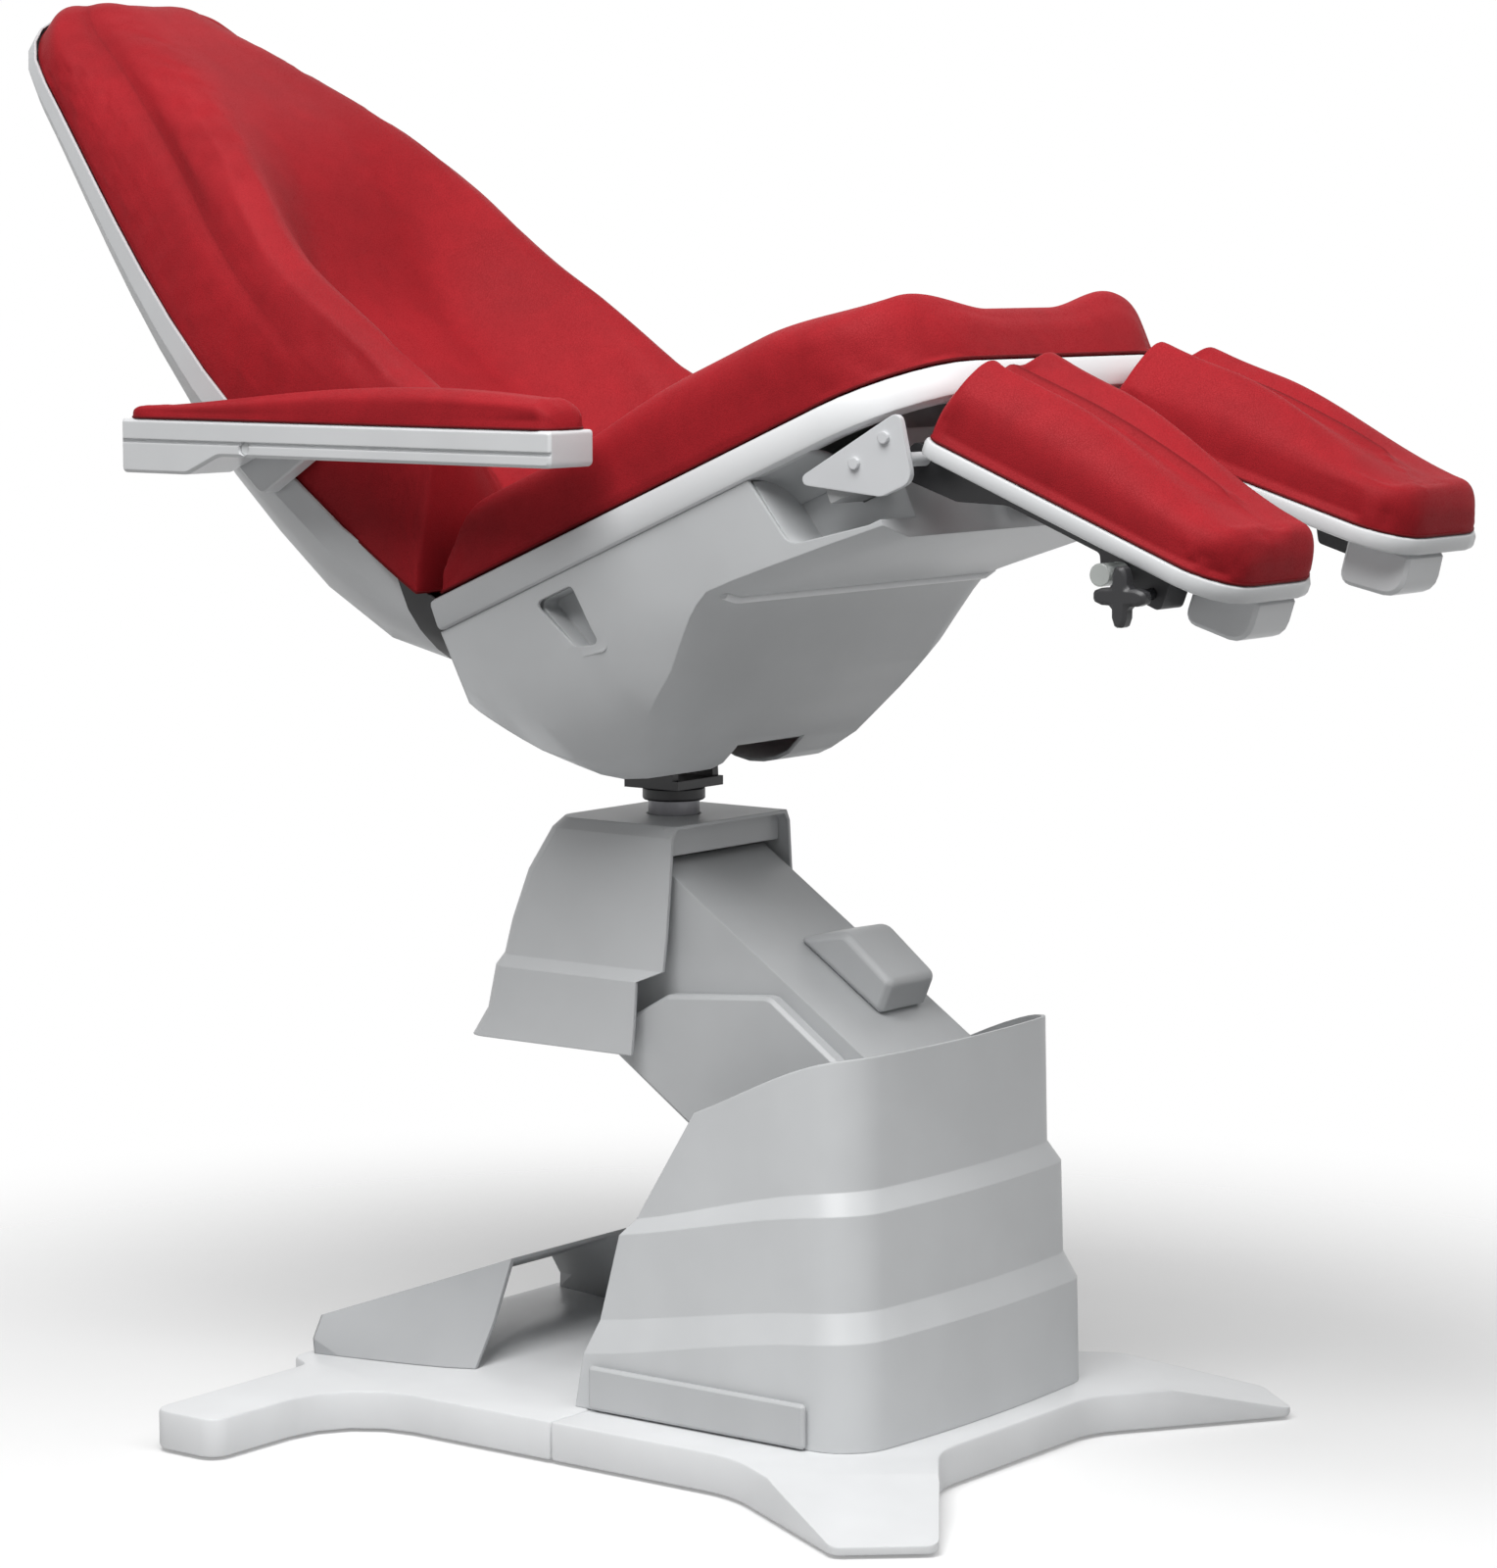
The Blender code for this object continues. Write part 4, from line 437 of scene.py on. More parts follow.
def bead_tree():
    """Node tree that lays a round bead along a piece's edges, as thick as its attribute says."""
    made = bpy.data.node_groups.new("bead_along_path", "GeometryNodeTree")
    for title, kind in (("Path", "Geometry"), ("Radius", "Float"), ("Sides", "Int"), ("Finish", "Material")):
        made.interface.new_socket(title, in_out="INPUT", socket_type="NodeSocket" + kind)
    made.interface.new_socket("Bead", in_out="OUTPUT", socket_type="NodeSocketGeometry")
    given, result = made.nodes.new("NodeGroupInput"), made.nodes.new("NodeGroupOutput")
    kinds = ("MeshToCurve", "InputNamedAttribute", "SetCurveRadius", "CurvePrimitiveCircle", "CurveToMesh",
             "SetShadeSmooth", "RealizeInstances", "SetMaterial")
    steps = [made.nodes.new("GeometryNode" + kind) for kind in kinds]
    path, thick, radius, ring, solid, smooth, real, finish = steps
    thick.data_type = "FLOAT"
    thick.inputs["Name"].default_value = "thick"
    solid.inputs["Fill Caps"].default_value = True
    for source, output, target, socket in (
            (given, "Path", path, "Mesh"), (path, "Curve", radius, "Curve"),
            (thick, "Attribute", radius, "Radius"), (given, "Sides", ring, "Resolution"),
            (given, "Radius", ring, "Radius"), (radius, "Curve", solid, "Curve"),
            (ring, "Curve", solid, "Profile Curve"), (solid, "Mesh", smooth, "Geometry"),
            (smooth, "Geometry", real, "Geometry"), (real, "Geometry", finish, "Geometry"),
            (given, "Finish", finish, "Material"), (finish, "Geometry", result, "Bead")):
        made.links.new(source.outputs[output], target.inputs[socket])
    return made


def bead(name, points, thick, closed, radius, sides, finish, node):
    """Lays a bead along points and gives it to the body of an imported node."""
    count = len(points)
    edges = [(k, (k + 1) % count) for k in range(count if closed else count - 1)]
    mesh = bpy.data.meshes.new(name)
    mesh.from_pydata([tuple(float(q) for q in point) for point in points], edges, [])
    mark_points(mesh, "thick", thick)
    piece = stand(name, mesh)
    laid = piece.modifiers.new("bead", "NODES")
    laid.node_group = bead_group
    sockets = bead_group.interface.items_tree
    socket = {item.name: item.identifier for item in sockets if item.in_out == "INPUT"}
    laid[socket["Radius"]] = radius
    laid[socket["Sides"]] = sides
    laid[socket["Finish"]] = finish
    settle(piece)
    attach(piece, body_of[node])


smooth_copy("seat_shell", shaded_grey, corner=40.0)
smooth_copy("seat_apron", shaded_grey, corner=26.0)
rim = smooth_copy("seat_rim", moulded("rim_tones", RIM_SHADED_GREY, SATIN, turns_to=BASE_WHITE), corner=26.0)
spots = np.array([v.co for v in rim.data.vertices])
forward = ((SEAT_ORIGIN[0] - spots[:, 1]) * math.cos(SEAT_TILT)
           + (spots[:, 2] - SEAT_ORIGIN[1]) * math.sin(SEAT_TILT))
mark_points(rim.data, "front", np.clip((forward - RIM_TURN[0]) / (RIM_TURN[1] - RIM_TURN[0]), 0.0, 1.0))

bead_group = bead_tree()
shell_mesh = frame["nodes"]["seat_shell"].data
shell_tree = BVHTree.FromPolygons([v.co for v in shell_mesh.vertices],
                                  [tuple(p.vertices) for p in shell_mesh.polygons])
seat_up = Vector((0.0, math.sin(SEAT_TILT), math.cos(SEAT_TILT)))
line = [shell_tree.ray_cast(Vector(seat_at(x, LINE_S, LINE_BELOW)), seat_up)[0]
        for x in np.linspace(-LINE_HALF, LINE_HALF, LINE_POINTS)]
thin_ends = np.clip(LINE_TAPER * (1 - np.abs(np.linspace(-1.0, 1.0, LINE_POINTS))), LINE_THIN, 1.0)
# painted highlight: the bead is white on the grey shell, standing for the bright highlight along this edge
bead("shell_line_highlight", line, thin_ends, False, LINE_RADIUS, LINE_SIDES, base_white, "seat_shell")

# Pocket liners. A thin scooped ABS panel closes the top of each knee pocket, from the band's lower
# edge to the pocket's inner wall, and hides the pan. It is clipped under the band.
HANDS = (("r", -1.0), ("l", 1.0))
LINER_S = (0.422, 0.507)
LINER_TOP = (0.256, -0.0345)
LINER_FOOT = (0.203, -0.066)
LINER_THICK = 0.002
LINER_COLUMNS = 9
LINER_ROWS = 10
for hand, sign in HANDS:
    points = []
    for along in np.linspace(*LINER_S, LINER_COLUMNS):
        for turn in np.linspace(0.0, math.pi / 2, LINER_ROWS):
            across = LINER_TOP[0] + (LINER_FOOT[0] - LINER_TOP[0]) * math.sin(turn)
            up = LINER_TOP[1] + (LINER_FOOT[1] - LINER_TOP[1]) * (1 - math.cos(turn))
            points.append(seat_at(sign * across, along, up))
    starts = [c * LINER_ROWS + r for c in range(LINER_COLUMNS - 1) for r in range(LINER_ROWS - 1)]
    faces = [(k, k + 1, k + LINER_ROWS + 1, k + LINER_ROWS) for k in starts]
    mesh = bpy.data.meshes.new("pocket_liner_" + hand)
    mesh.from_pydata(points, [], faces if sign < 0 else [face[::-1] for face in faces])
    mesh.materials.append(shaded_grey)
    mesh.shade_smooth()
    liner = stand("pocket_liner_" + hand, mesh)
    liner.modifiers.new("wall", "SOLIDIFY").thickness = LINER_THICK
    settle(liner)
    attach(liner, "seat")

# Arm rest rails and leg rest trays. Satin white mouldings like the base, with a finer grain, painted
# a greyer white than the base's as shade. The rails carry one long drawn groove and turn on the pins
# of their brackets.
# painted shade: a greyer white than the base's, for the rails and trays
SHADED_FINE_WHITE = (0.66, 0.67, 0.68)
FINE_GRAIN = 0.04
shaded_fine_white = moulded("shaded_fine_white", SHADED_FINE_WHITE, roughness=0.33, grain=FINE_GRAIN)
for node in ("rest_rail_", "rest_bracket_", "leg_tray_", "leg_handle_"):
    for hand, sign in HANDS:
        smooth_copy(node + hand, shaded_fine_white, corner=24.0)

# Back shell. A satin white moulding over a steel ladder, painted a greyer white than the rails as
# shade. Where it dips into the seat shell its end is painted black as the shadow in the gap, which
# shows as a dark crescent between the two mouldings.
# painted shade: a greyer white than the rails', for the back shell
BACK_SHADED_WHITE = (0.58, 0.59, 0.60)
# painted shadow: black for the back shell's end, standing for the shadow in the gap where it dips into the
# seat shell
GAP_SHADOW_BLACK = (0.012, 0.012, 0.013)
GAP_SHADOW_EDGE = Vector((0.0, 0.3812, 0.8654))
GAP_SHADOW_LEAN = math.radians(15.0)
GAP_SHADOW_SIDE = Vector((0.0, -math.cos(GAP_SHADOW_LEAN), math.sin(GAP_SHADOW_LEAN)))
shell_skin = smooth_copy("back_shell", moulded("back_shaded_white", BACK_SHADED_WHITE, SATIN, FINE_GRAIN), corner=24.0)
shell_skin.data.materials.append(powder_coat("gap_shadow_paint", GAP_SHADOW_BLACK))
cut = bmesh.new()
cut.from_mesh(shell_skin.data)
whole = cut.verts[:] + cut.edges[:] + cut.faces[:]
bmesh.ops.bisect_plane(cut, geom=whole, plane_co=GAP_SHADOW_EDGE, plane_no=GAP_SHADOW_SIDE)
# faces past the plane get the black painted shadow
for face in cut.faces:
    if (face.calc_center_median() - GAP_SHADOW_EDGE).dot(GAP_SHADOW_SIDE) > 0:
        face.material_index = 1
cut.to_mesh(shell_skin.data)
cut.free()

# Upholstery. Every pad is moulded foam in a red vinyl-coated skin that is drawn down to a hem on
# its tray, where a welt closes it; the welt is painted darker as the shadow line along the hem. A
# skin is a grid: rows run along the pad, each of them goes over it from hem to hem, and a short
# cloth simulation swells it over the foam.
VINYL_RED = (0.325, 0.0125, 0.0185)
VINYL_MATT = 0.58
VINYL_GLOSS = 0.12
VINYL_PORES = 430.0
VINYL_WARPS = 160.0
VINYL_WARP = 0.006
VINYL_CLOUDS = 6.0
VINYL_FOLDS = 42.0
VINYL_RELIEF = 0.30
VINYL_DEPTH = 0.0005
# painted shadow: how dark the welt is made, for the shadow line at the hem
WELT_SHADE = 0.45
WELT_RADIUS = 0.0014
WELT_SIDES = 8
SIDE_POWER = 2 / 0.30
SIDE_TOP = 0.92
SIDE_POINTS = 70
TOP_POINTS = 112
SIDE_SWELL = 0.010
VALLEY_SIDES = (0.35, 0.25)
ROUND_POWER = 2.3
CLOTH_STEP = 4
CLOTH_FRAMES = 20
CLOTH = {"quality": 5, "mass": 0.02, "bending_stiffness": 0.4, "use_pressure": True,
         "uniform_pressure_force": 4.0, "vertex_group_mass": "held"}
CROWN_STEP = 6
CROWN_HEIGHT = (0.0002, 0.0030)
FOLD_ANGLE = math.radians(60)
FINE_LINE = (0.0012, 0.0018)  # depth and half width
# painted shade in the creases: on the fine line and over the groove
LINE_SHADE = 0.75
GROOVE_SHADE = 0.18
NO_GROOVE = (0.0, 0.01, 0.0)  # depth, half width and share of the fine line
HELD_STRENGTH = 0.5
ON_CREASE = 1e-7
SUNK_SHARE = 0.5
TINY = 1e-9


def red_skin(name, colour):
    """Vinyl-coated fabric: leather grain in pores, soft clouding, creases painted darker as shade and rubbed
    crowns.
    """
    made, tree, shader, place = blank_finish(name)
    warp = noise(place, VINYL_WARPS, 2.0, "Color")
    bent = Wire.node(tree, "Mix", {"data_type": "VECTOR"}, {0: VINYL_WARP, 4: place, 5: warp}, 1)
    pores = Wire.node(tree, "TexVoronoi", {"feature": "DISTANCE_TO_EDGE"},
                      {"Vector": bent, "Scale": VINYL_PORES})
    cloud = noise(place, VINYL_CLOUDS, 4.0)
    fold = noise(place, VINYL_FOLDS, 3.0)
    crease = Wire.node(tree, "Attribute", {"attribute_name": "crease"}, out="Fac")
    rub = Wire.node(tree, "Attribute", {"attribute_name": "rub"}, out="Fac")
    grain = pores.spread(0.0, 0.16)
    tint = (cloud * 0.7 + fold * 0.3).spread(0.32, 0.68).blend(toned(colour, 0.86), toned(colour, 1.10))
    pored = ((1 - grain) * 0.30).blend(tint, toned(colour, 0.5))
    rubbed = (rub * cloud.spread(0.35, 0.7) * 0.16).blend(pored, toned(colour, 1.18, 0.012))
    # painted shade: the crease attribute darkens the colour in each groove and along its fine line
    crease.blend(rubbed, toned(colour, 0.22)).feed(shader.inputs["Base Color"])
    matt = VINYL_MATT + (cloud - 0.5) * 0.18 + (1 - grain) * 0.12 - rub * 0.07 + crease * 0.10
    matt.feed(shader.inputs["Roughness"])
    bumped(shader, grain * 0.55 + fold * 0.45, VINYL_RELIEF, VINYL_DEPTH)
    shader.inputs["Specular IOR Level"].default_value = VINYL_GLOSS
    return made


def ease(value, low, high):
    """Smooth step from 0 at low to 1 at high."""
    t = np.clip((value - low) / (high - low), 0.0, 1.0)
    return t * t * (3 - 2 * t)


def stepped(at, start, *steps):
    """A measure that starts at one value and changes by each step between two places."""
    return start + sum(change * ease(at, low, high) for change, low, high in steps)


def end_fall(along, length, radius):
    """Share of full height: 1 inside the pad, falling round to 0 at both ends."""
    near = np.clip(np.minimum(along, length - along) / radius, 0.0, 1.0)
    return (1 - (1 - near) ** ROUND_POWER) ** (1 / ROUND_POWER)


def corner_round(along, length, half, radius):
    """Half width where the plan's far corners are round."""
    left = np.clip(radius - (length - along), 0.0, radius)
    return half - radius + np.sqrt(radius ** 2 - left ** 2)


def even_rows(count):
    """Places along a pad from 0 to 1, closer together at its two ends."""
    place = np.linspace(0.0, 1.0, count)
    return (place + (1 - np.cos(np.pi * place)) / 2)[:, None] / 2


def winged_skin(along, half, base, middle, wing, place, valley, lean):
    """Skin with a hollow middle between two raised wings, leaning forward where the sides do."""
    top = middle + (wing - middle) * ease(np.abs(reach), valley - VALLEY_SIDES[0], valley + VALLEY_SIDES[1])
    swell = 1.0 + SIDE_SWELL * np.sin(np.pi * rise)
    return place(along + lean * top * rise, base + top * rise, -half * reach * swell)


def hinged(origin, angle, forward):
    """Place on a leaning pad: along it, square to it and across it."""
    c, s = math.cos(angle), math.sin(angle)

    def place(along, up, across):
        y = origin[0] + forward * along * c - forward * up * s
        z = origin[1] + along * s + up * c
        return np.stack(np.broadcast_arrays(across, y, z), axis=2)

    return place


def read_columns(dense, marks, counts):
    """Reads each row of a skin again at even steps, with one column on every crease, and tells how
    far each point lies from its nearest crease."""
    points, gaps = [], []
    for row, mark in zip(dense, marks):
        run = np.concatenate(([0.0], np.cumsum(np.linalg.norm(np.diff(row, axis=0), axis=1))))
        inner = np.interp(mark, np.arange(len(row)), run)
        knots = np.concatenate(([0.0], inner, [run[-1]]))
        parts = zip(knots, knots[1:], counts)
        at = np.concatenate([np.linspace(a, b, n, endpoint=False) for a, b, n in parts] + [run[-1:]])
        points.append(np.stack([np.interp(at, run, row[:, k]) for k in range(3)], axis=1))
        gaps.append(np.min(np.abs(at[:, None] - inner), axis=1) if len(inner) else np.ones(len(at)))
    return np.array(points), np.array(gaps)


def grid_normals(points):
    """Outward directions of a skin's grid."""
    square = np.cross(np.gradient(points, axis=1), np.gradient(points, axis=0))
    return square / np.maximum(np.linalg.norm(square, axis=2, keepdims=True), TINY)


def skin_faces(rows, cols):
    """Faces of a closed pad: the skin's grid, and one strip to each row underneath."""
    k = np.arange(rows * cols).reshape(rows, cols)
    grid = np.stack([k[:-1, 1:], k[1:, 1:], k[1:, :-1], k[:-1, :-1]], axis=2).reshape(-1, 4)
    faces = grid.tolist() + [(k[i, 0], k[i + 1, 0], k[i + 1, -1], k[i, -1]) for i in range(1, rows - 2)]
    faces.append(tuple(k[0, ::-1]) + (k[1, 0], k[1, -1]))
    faces.append((k[-2, -1], k[-2, 0]) + tuple(k[-1, :]))
    return [tuple(int(v) for v in face) for face in faces]


def blown(points, pinned, cap):
    """Swelling of a skin over its foam: a cloth that is held at its hem and creases is blown up for
    some frames. The movement is capped softly and read back at the skin's full density."""
    coarse = points[::CLOTH_STEP, ::CLOTH_STEP]
    rows, cols = coarse.shape[:2]
    mesh = bpy.data.meshes.new("skin_cloth")
    mesh.from_pydata(coarse.reshape(-1, 3).tolist(), [], skin_faces(rows, cols))
    trial = stand("skin_cloth", mesh)
    held = pinned[::CLOTH_STEP, ::CLOTH_STEP].copy()
    held[[0, -1], :] = True
    held[:, [0, -1]] = True
    trial.vertex_groups.new(name="held").add([int(k) for k in np.flatnonzero(held)], 1.0, "REPLACE")
    cloth = trial.modifiers.new("cloth", "CLOTH")
    for key, value in CLOTH.items():
        setattr(cloth.settings, key, value)
    cloth.settings.effector_weights.gravity = 0.0
    cloth.point_cache.frame_start = 1
    cloth.point_cache.frame_end = CLOTH_FRAMES
    for number in range(1, CLOTH_FRAMES + 1):
        scene.frame_set(number)
    moved = np.empty(rows * cols * 3)
    trial.evaluated_get(bpy.context.evaluated_depsgraph_get()).data.vertices.foreach_get("co", moved)
    shift = moved.reshape(rows, cols, 3) - coarse
    bpy.data.objects.remove(trial)
    bpy.data.meshes.remove(mesh)
    scene.frame_set(1)
    size = np.linalg.norm(shift, axis=2, keepdims=True)
    shift *= cap * np.tanh(size / cap) / np.maximum(size, TINY)
    for axis in (0, 1):
        every = np.arange(points.shape[axis])
        shift = np.apply_along_axis(lambda run: np.interp(every, every[::CLOTH_STEP], run), axis, shift)
    return shift


def crowns(points):
    """How strongly a skin is crowned at each point, from 0 in flats and hollows to 1 on crests."""
    n = CROWN_STEP
    wide = np.pad(points, ((n, n), (n, n), (0, 0)), mode="edge")
    around = (wide[2 * n:, n:-n] + wide[:-2 * n, n:-n] + wide[n:-n, 2 * n:] + wide[n:-n, :-2 * n]) / 4
    return ease(np.sum((points - around) * grid_normals(points), axis=2), *CROWN_HEIGHT)


def soft_pad(name, node, dense, counts, cap, marks=None, groove=NO_GROOVE, strength=None):
    """Blows up a skin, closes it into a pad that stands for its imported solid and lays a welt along
    its hem. Creases lie at the marks. They are drawn in by the groove's depth and half width, with a
    fine line of some share at their bottom, at a strength for each row."""
    marks = np.zeros((len(dense), 0)) if marks is None else marks
    strength = np.zeros((len(dense), 1)) if strength is None else strength
    points, gaps = read_columns(dense, marks, counts)
    swell = blown(points, (gaps < ON_CREASE) & (strength > HELD_STRENGTH), cap)
    points = points + swell - SUNK_SHARE * np.mean(swell, axis=(0, 1))
    depth, width, fine = groove
    drawn = strength * np.exp(-(gaps / width) ** 2)
    line = fine * strength * np.exp(-(gaps / FINE_LINE[1]) ** 2)
    points = points - grid_normals(points) * (depth * drawn + FINE_LINE[0] * line)[:, :, None]
    mesh = bpy.data.meshes.new(name)
    mesh.from_pydata(points.reshape(-1, 3).tolist(), [], skin_faces(*points.shape[:2]))
    # painted shade, read by the vinyl's colour: darkest on the fine line, softer over the groove
    mark_points(mesh, "crease", np.clip(LINE_SHADE * line + GROOVE_SHADE * drawn, 0, 1))
    mark_points(mesh, "rub", np.clip(crowns(points) * (1 - drawn), 0, 1))
    mesh.shade_smooth()
    mesh.set_sharp_from_angle(angle=FOLD_ANGLE)
    mesh.materials.append(vinyl)
    pad = stand(name, mesh)
    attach(pad, body_of[node])
    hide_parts(node)
    hem = np.concatenate((points[1:-1, 0], points[-1, 1:-1], points[-2:0:-1, -1], points[0, -2:0:-1]))[::2]
    bead(name + "_welt", hem, np.ones(len(hem)), True, WELT_RADIUS, WELT_SIDES, welt_shadow_red, node)


vinyl = red_skin("red_vinyl_skin", VINYL_RED)
# painted shadow: the welts' darker red stands for the shadow line at each hem
welt_shadow_red = red_skin("red_welt_shadow", tuple(c * WELT_SHADE for c in VINYL_RED))
side_rise = np.linspace(0.0, SIDE_TOP, SIDE_POINTS)
side_reach = (1 - side_rise ** SIDE_POWER) ** (1 / SIDE_POWER)
top_reach = np.linspace(side_reach[-1], 0.0, TOP_POINTS)[1:]
half_reach = np.concatenate((side_reach, top_reach))
half_rise = np.concatenate((side_rise, (1 - top_reach ** SIDE_POWER) ** (1 / SIDE_POWER)))
reach = np.concatenate((half_reach, -half_reach[-2::-1]))[None, :]
rise = np.concatenate((half_rise, half_rise[-2::-1]))[None, :]
LAST_POINT = reach.shape[1] - 1

# Seat pad. One foam block under a single skin, pressed down into the band: raised sides, a roll in
# front and a hollow middle, without creases.
SEAT_PAD = (0.012, 0.649)
SEAT_END = 0.034
SEAT_HALF = 0.2625
SEAT_CORNER = 0.112
SEAT_WING = (0.090, (0.017, 0.20, 0.55), (-0.018, 0.72, 0.95))
SEAT_MIDDLE = (0.046, (0.022, 0.35, 0.90))
SEAT_VALLEY = 0.60
SEAT_LEAN = 0.55
SEAT_ROWS = 169
SEAT_COLUMNS = (208,)
SEAT_SWELL = 0.006
PAD_BASE = 0.0008
part = even_rows(SEAT_ROWS)
length = SEAT_PAD[1] - SEAT_PAD[0]
full = end_fall(length * part, length, SEAT_END)
half = corner_round(length * part, length, SEAT_HALF, SEAT_CORNER)
wing = stepped(part, *SEAT_WING) * full
middle = stepped(part, *SEAT_MIDDLE) * full
seat_place = hinged(SEAT_ORIGIN, SEAT_TILT, -1.0)
dense = winged_skin(SEAT_PAD[0] + length * part, half, PAD_BASE, middle, wing, seat_place, SEAT_VALLEY,
                    SEAT_LEAN * (1 - part) ** 2)
soft_pad("seat_pad", "seat_cushion", dense, SEAT_COLUMNS, SEAT_SWELL)

# Back pad. A broad foam block in the back shell, hollow low down between two bolsters that draw
# together toward the top. A soft welded crease runs outside each crest and fades out low down.
BACK_PAD = (0.008, 0.932)
BACK_PLACE = (0.349, 0.888)
BACK_ANGLE = math.radians(41.3)
BACK_END = 0.040
BACK_SHELL = (0.004, 0.930)
BACK_HALF = (0.266, (-0.1196, 0.26, 1.06))
BACK_CORNER = 0.10
BACK_SAG = 0.032
SAG_LENGTH = 0.926
SAG_SKEW = 0.8
BACK_MIDDLE = (0.062, (0.018, 0.35, 0.65), (-0.028, 0.70, 0.92))
BACK_FILL = (0.0, (0.86, 0.36, 0.66))
BACK_LEAN = 0.715
BACK_ROWS = 229
BACK_COLUMNS = (56, 128, 56)
BACK_SWELL = 0.008
BACK_GROOVE = (0.0058, 0.014, 0.20)
BOLSTER_EDGE = 0.046
BOLSTER_IN = 0.3
BOLSTER_OUT = 1.02
BOLSTERS = np.array((  # along the back, crest height, crest place as a share of the half width
    (0.0, 0.178, 0.93), (0.25, 0.172, 0.93), (0.40, 0.160, 0.93), (0.50, 0.154, 0.88), (0.60, 0.141, 0.77),
    (0.70, 0.120, 0.65), (0.80, 0.092, 0.50), (0.88, 0.064, 0.38), (0.93, 0.050, 0.34)))
CREASE_START = (0.0, (1.0, 0.22, 0.46))
CREASE_END = (1.0, (-0.6, 0.86, 0.93))


def smooth_read(at, table, column):
    """Smooth reading of one column of a short table."""
    known, level = table[:, 0], table[:, column]
    k = np.clip(np.searchsorted(known, at) - 1, 0, len(known) - 2)
    slope = np.gradient(level, known)
    span = known[k + 1] - known[k]
    t = (at - known[k]) / span
    bend = t * t * (3 - 2 * t)
    lead = span * slope[k] * t * (1 - t) ** 2 - span * slope[k + 1] * t * t * (1 - t)
    return level[k] + (level[k + 1] - level[k]) * bend + lead


part = even_rows(BACK_ROWS)
length = BACK_PAD[1] - BACK_PAD[0]
along = BACK_PAD[0] + length * part
full = end_fall(length * part, length, BACK_END)
in_shell = along - BACK_SHELL[0]
half = corner_round(in_shell, BACK_SHELL[1], stepped(in_shell, *BACK_HALF), BACK_CORNER)
base = -BACK_SAG * np.sin(np.pi * np.clip(along / SAG_LENGTH, 0, 1) ** SAG_SKEW) + PAD_BASE
crest = smooth_read(along, BOLSTERS, 1)
crest_at = smooth_read(along, BOLSTERS, 2)
middle = stepped(along, *BACK_MIDDLE)
middle = middle + (crest - middle) * stepped(along, *BACK_FILL)
out = np.abs(reach)
top = np.where(out < crest_at, middle + (crest - middle) * ease(out, BOLSTER_IN * crest_at, crest_at),
               crest - (crest - BOLSTER_EDGE) * ease(out, crest_at, BOLSTER_OUT))
top = np.maximum(top, BOLSTER_EDGE) * full * rise
back_place = hinged(BACK_PLACE, BACK_ANGLE, 1.0)
dense = back_place(along + BACK_LEAN * (1 - part) ** 3 * top, base + top, -half * reach)
crease_at = (1 + crest_at[:, 0]) / 2
first = np.interp(-crease_at, -half_reach, np.arange(len(half_reach)))
soft_pad("back_pad", "back_cushion", dense, BACK_COLUMNS, BACK_SWELL,
         marks=np.stack((first, LAST_POINT - first), axis=1), groove=BACK_GROOVE,
         strength=stepped(along, *CREASE_START) * stepped(along, *CREASE_END))

# Arm rest pads. Slim, crowned foam strips under the same red skin, screwed to the rails from below
# and alike on both sides.
REST_PAD = (0.098, 0.676)
REST_MIDDLE = 0.331
REST_LEVEL = 1.0686
REST_END = 0.022
REST_HALF = 0.033
REST_CORNER = 0.018
REST_LOW = 0.014
REST_CROWN = 0.026
REST_START = 0.25
REST_ARCH = 1.5
REST_SIDE = 0.86
REST_VALLEY = 0.7
REST_ROWS = 133
REST_COLUMNS = (48,)
REST_SWELL = 0.003
part = even_rows(REST_ROWS)
length = REST_PAD[1] - REST_PAD[0]
full = end_fall(length * part, length, REST_END)
arch = np.sin(np.pi * np.minimum(1.0, REST_START + (1 - REST_START) * part)) ** REST_ARCH
crown = (REST_LOW + REST_CROWN * arch) * full
half = np.minimum(corner_round(length * part, length, REST_HALF, REST_CORNER),
                  corner_round(length * (1 - part), length, REST_HALF, REST_CORNER))
level_place = hinged((0.0, 0.0), 0.0, 1.0)
skin = winged_skin(REST_PAD[0] + length * part, half, REST_LEVEL, crown, crown * REST_SIDE, level_place,
                   REST_VALLEY, lean=0.0)
for hand, sign in HANDS:
    dense = skin[:, ::-1] + np.array((sign * REST_MIDDLE, 0.0, 0.0))
    soft_pad("rest_pad_skin_" + hand, "rest_pad_" + hand, dense, REST_COLUMNS, REST_SWELL)

# Leg pads. Foam in the leg rest trays, in two rolls with a welded crease between them. Rolls and
# crease fade out toward the foot.
LEG_PAD = (0.014, 0.374)
LEG_MIDDLE = 0.155
LEG_BASE = 0.0305
LEG_ENDS = (0.016, 0.030)
LEG_HALF = 0.0972
LEG_CORNERS = (0.055, 0.02)
LEG_ROUND = 4.6
LEG_FADE = (0.28, 0.97)
LEG_HEIGHT = 0.060
LEG_FOOT = 0.050
LEG_ROLLS = ((-0.55, 0.086), (0.50, 0.092))  # place and height
ROLL_WIDTH = 0.40
LEG_CREASE = (0.60, 0.95)
LEG_GROOVE = (0.0055, 0.013, 0.6)
LEG_ROWS = 121
LEG_COLUMNS = (56, 56)
LEG_SWELL = 0.005
LEG_DROP = {"r": math.radians(21.5), "l": math.radians(16.8)}
KNEE_PLACE = (-0.250, 1.0450)
part = even_rows(LEG_ROWS)
length = LEG_PAD[1] - LEG_PAD[0]
along = length * part
full = np.minimum(end_fall(along, 2 * length, LEG_ENDS[0]), end_fall(along + length, 2 * length, LEG_ENDS[1]))
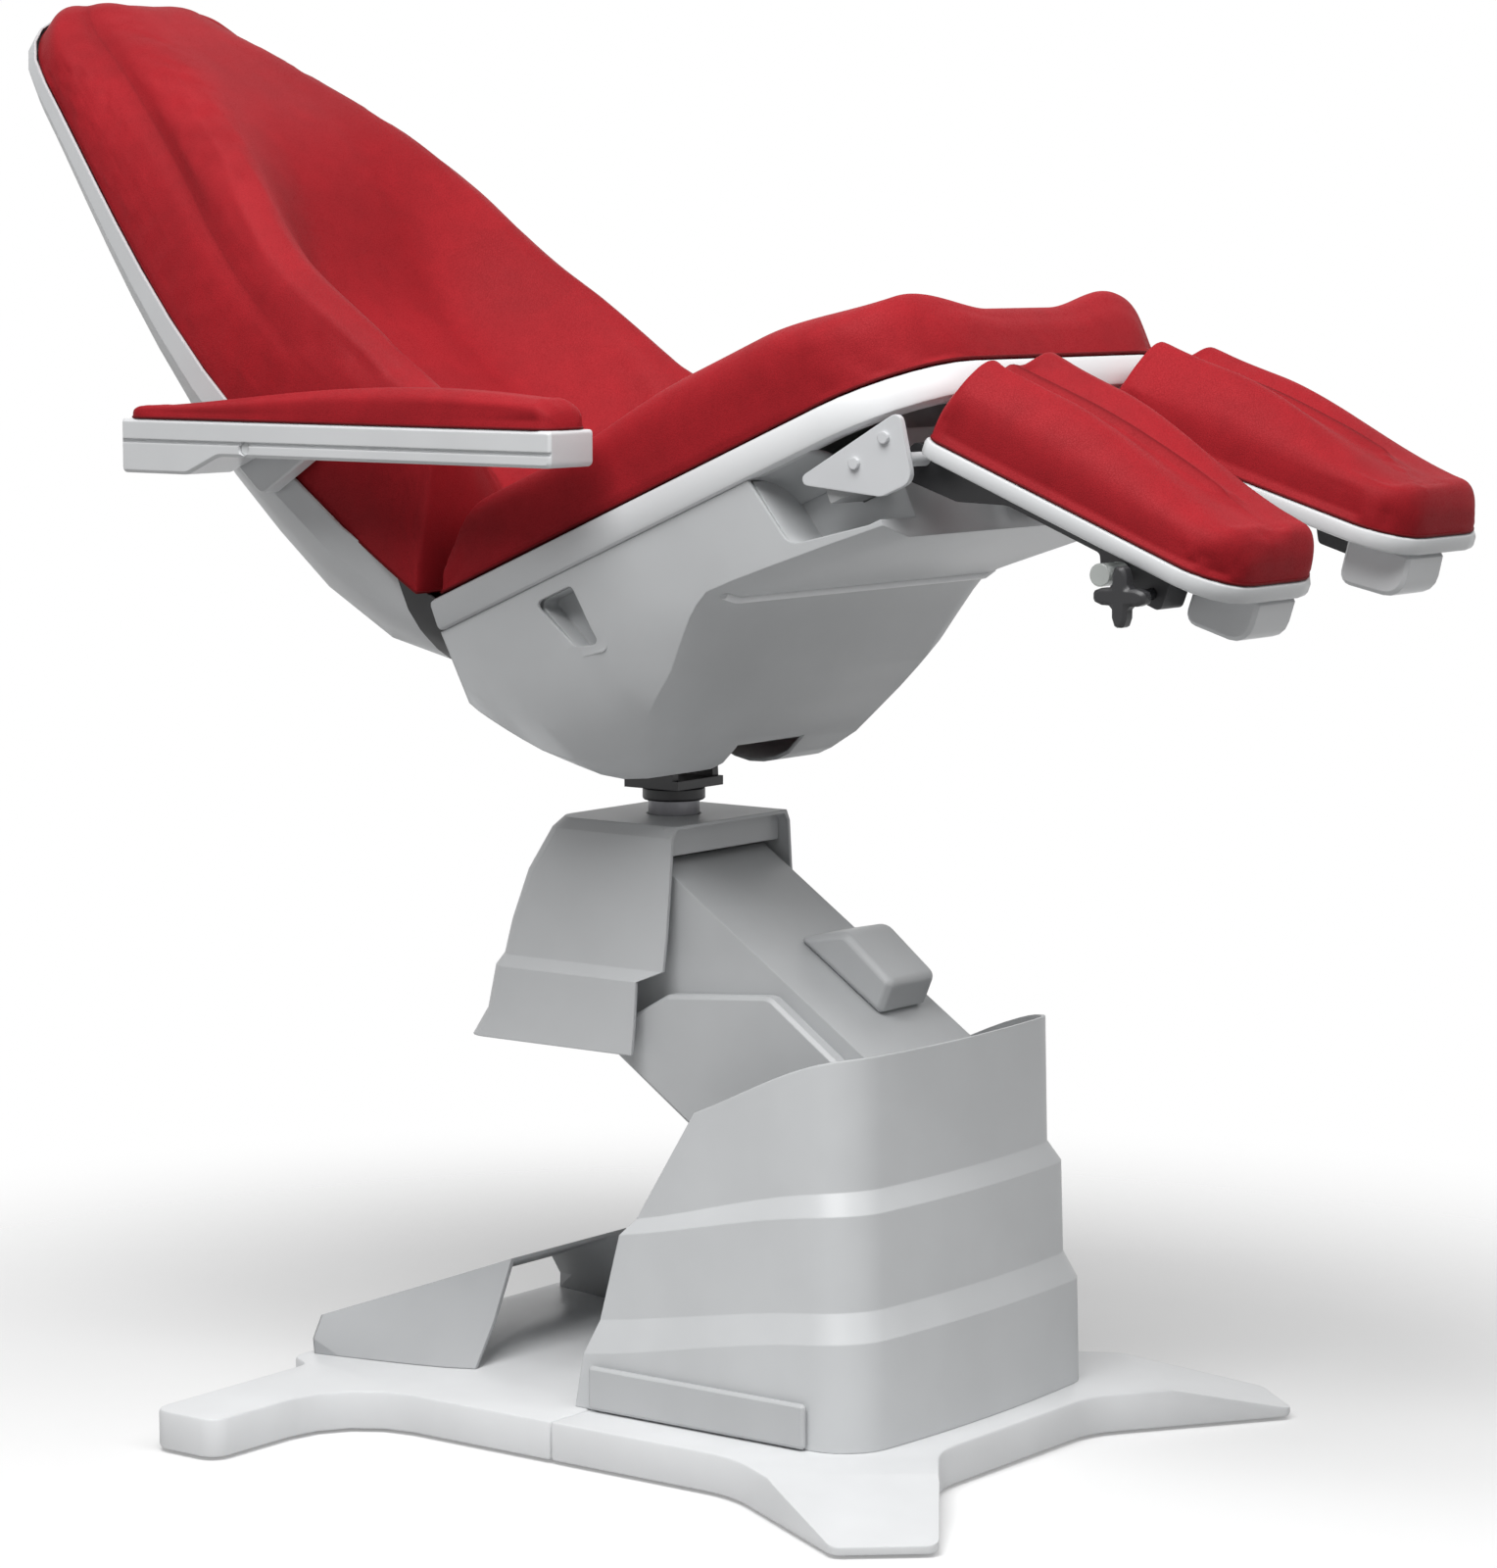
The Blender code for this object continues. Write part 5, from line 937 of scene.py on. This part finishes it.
half = np.minimum(corner_round(along, length, LEG_HALF, LEG_CORNERS[0]),
                  corner_round(length - along, length, LEG_HALF, LEG_CORNERS[1]))
fade = ease(part, *LEG_FADE)
round_rise = (1 - np.abs(reach) ** LEG_ROUND) ** (1 / LEG_ROUND)
for hand, sign in HANDS:
    top = LEG_FOOT * fade + LEG_HEIGHT * (1 - fade)
    for at, height in LEG_ROLLS:
        top = top + (height - LEG_HEIGHT) * (1 - fade) * np.exp(-((reach * sign - at) / ROLL_WIDTH) ** 2)
    leg_place = hinged(KNEE_PLACE, -LEG_DROP[hand], -1.0)
    dense = leg_place(LEG_PAD[0] + along, LEG_BASE + top * full * round_rise,
                      sign * LEG_MIDDLE - half * reach)
    soft_pad("leg_pad_" + hand, "leg_cushion_" + hand, dense, LEG_COLUMNS, LEG_SWELL,
             marks=np.full((LEG_ROWS, 1), LAST_POINT / 2), groove=LEG_GROOVE,
             strength=1 - ease(part, *LEG_CREASE))

# Knee parts. Black satin rails turn on steel pins in the knee plates; star knobs of black
# nylon clamp the leg rests, and a clear nylon bush rides beside each of them.
RAIL_BLACK = (0.018, 0.018, 0.020)
KNOB_BLACK = (0.016, 0.016, 0.018)
PLATE_GREY = (0.62, 0.63, 0.645)
BUSH_CLEAR = (0.72, 0.75, 0.73)
BUSH_CLARITY = 0.45
satin_black = powder_coat("satin_black", RAIL_BLACK)
black_nylon = moulded("black_nylon", KNOB_BLACK, roughness=0.38, grain=0.08)
knee_plate = moulded("knee_plate", PLATE_GREY, roughness=0.38)
clear_nylon = moulded("clear_nylon", BUSH_CLEAR, roughness=0.25)
clear_nylon.node_tree.nodes["Principled BSDF"].inputs["Transmission Weight"].default_value = BUSH_CLARITY
smooth_copy("knee_beam", pale_coat, corner=24.0)
for node, finish, corner in (("leg_rail_", satin_black, 24.0), ("leg_knob_", black_nylon, 34.0),
                             ("leg_bush_", clear_nylon, 34.0), ("knee_bracket_", knee_plate, 24.0)):
    for hand, sign in HANDS:
        smooth_copy(node + hand, finish, corner)
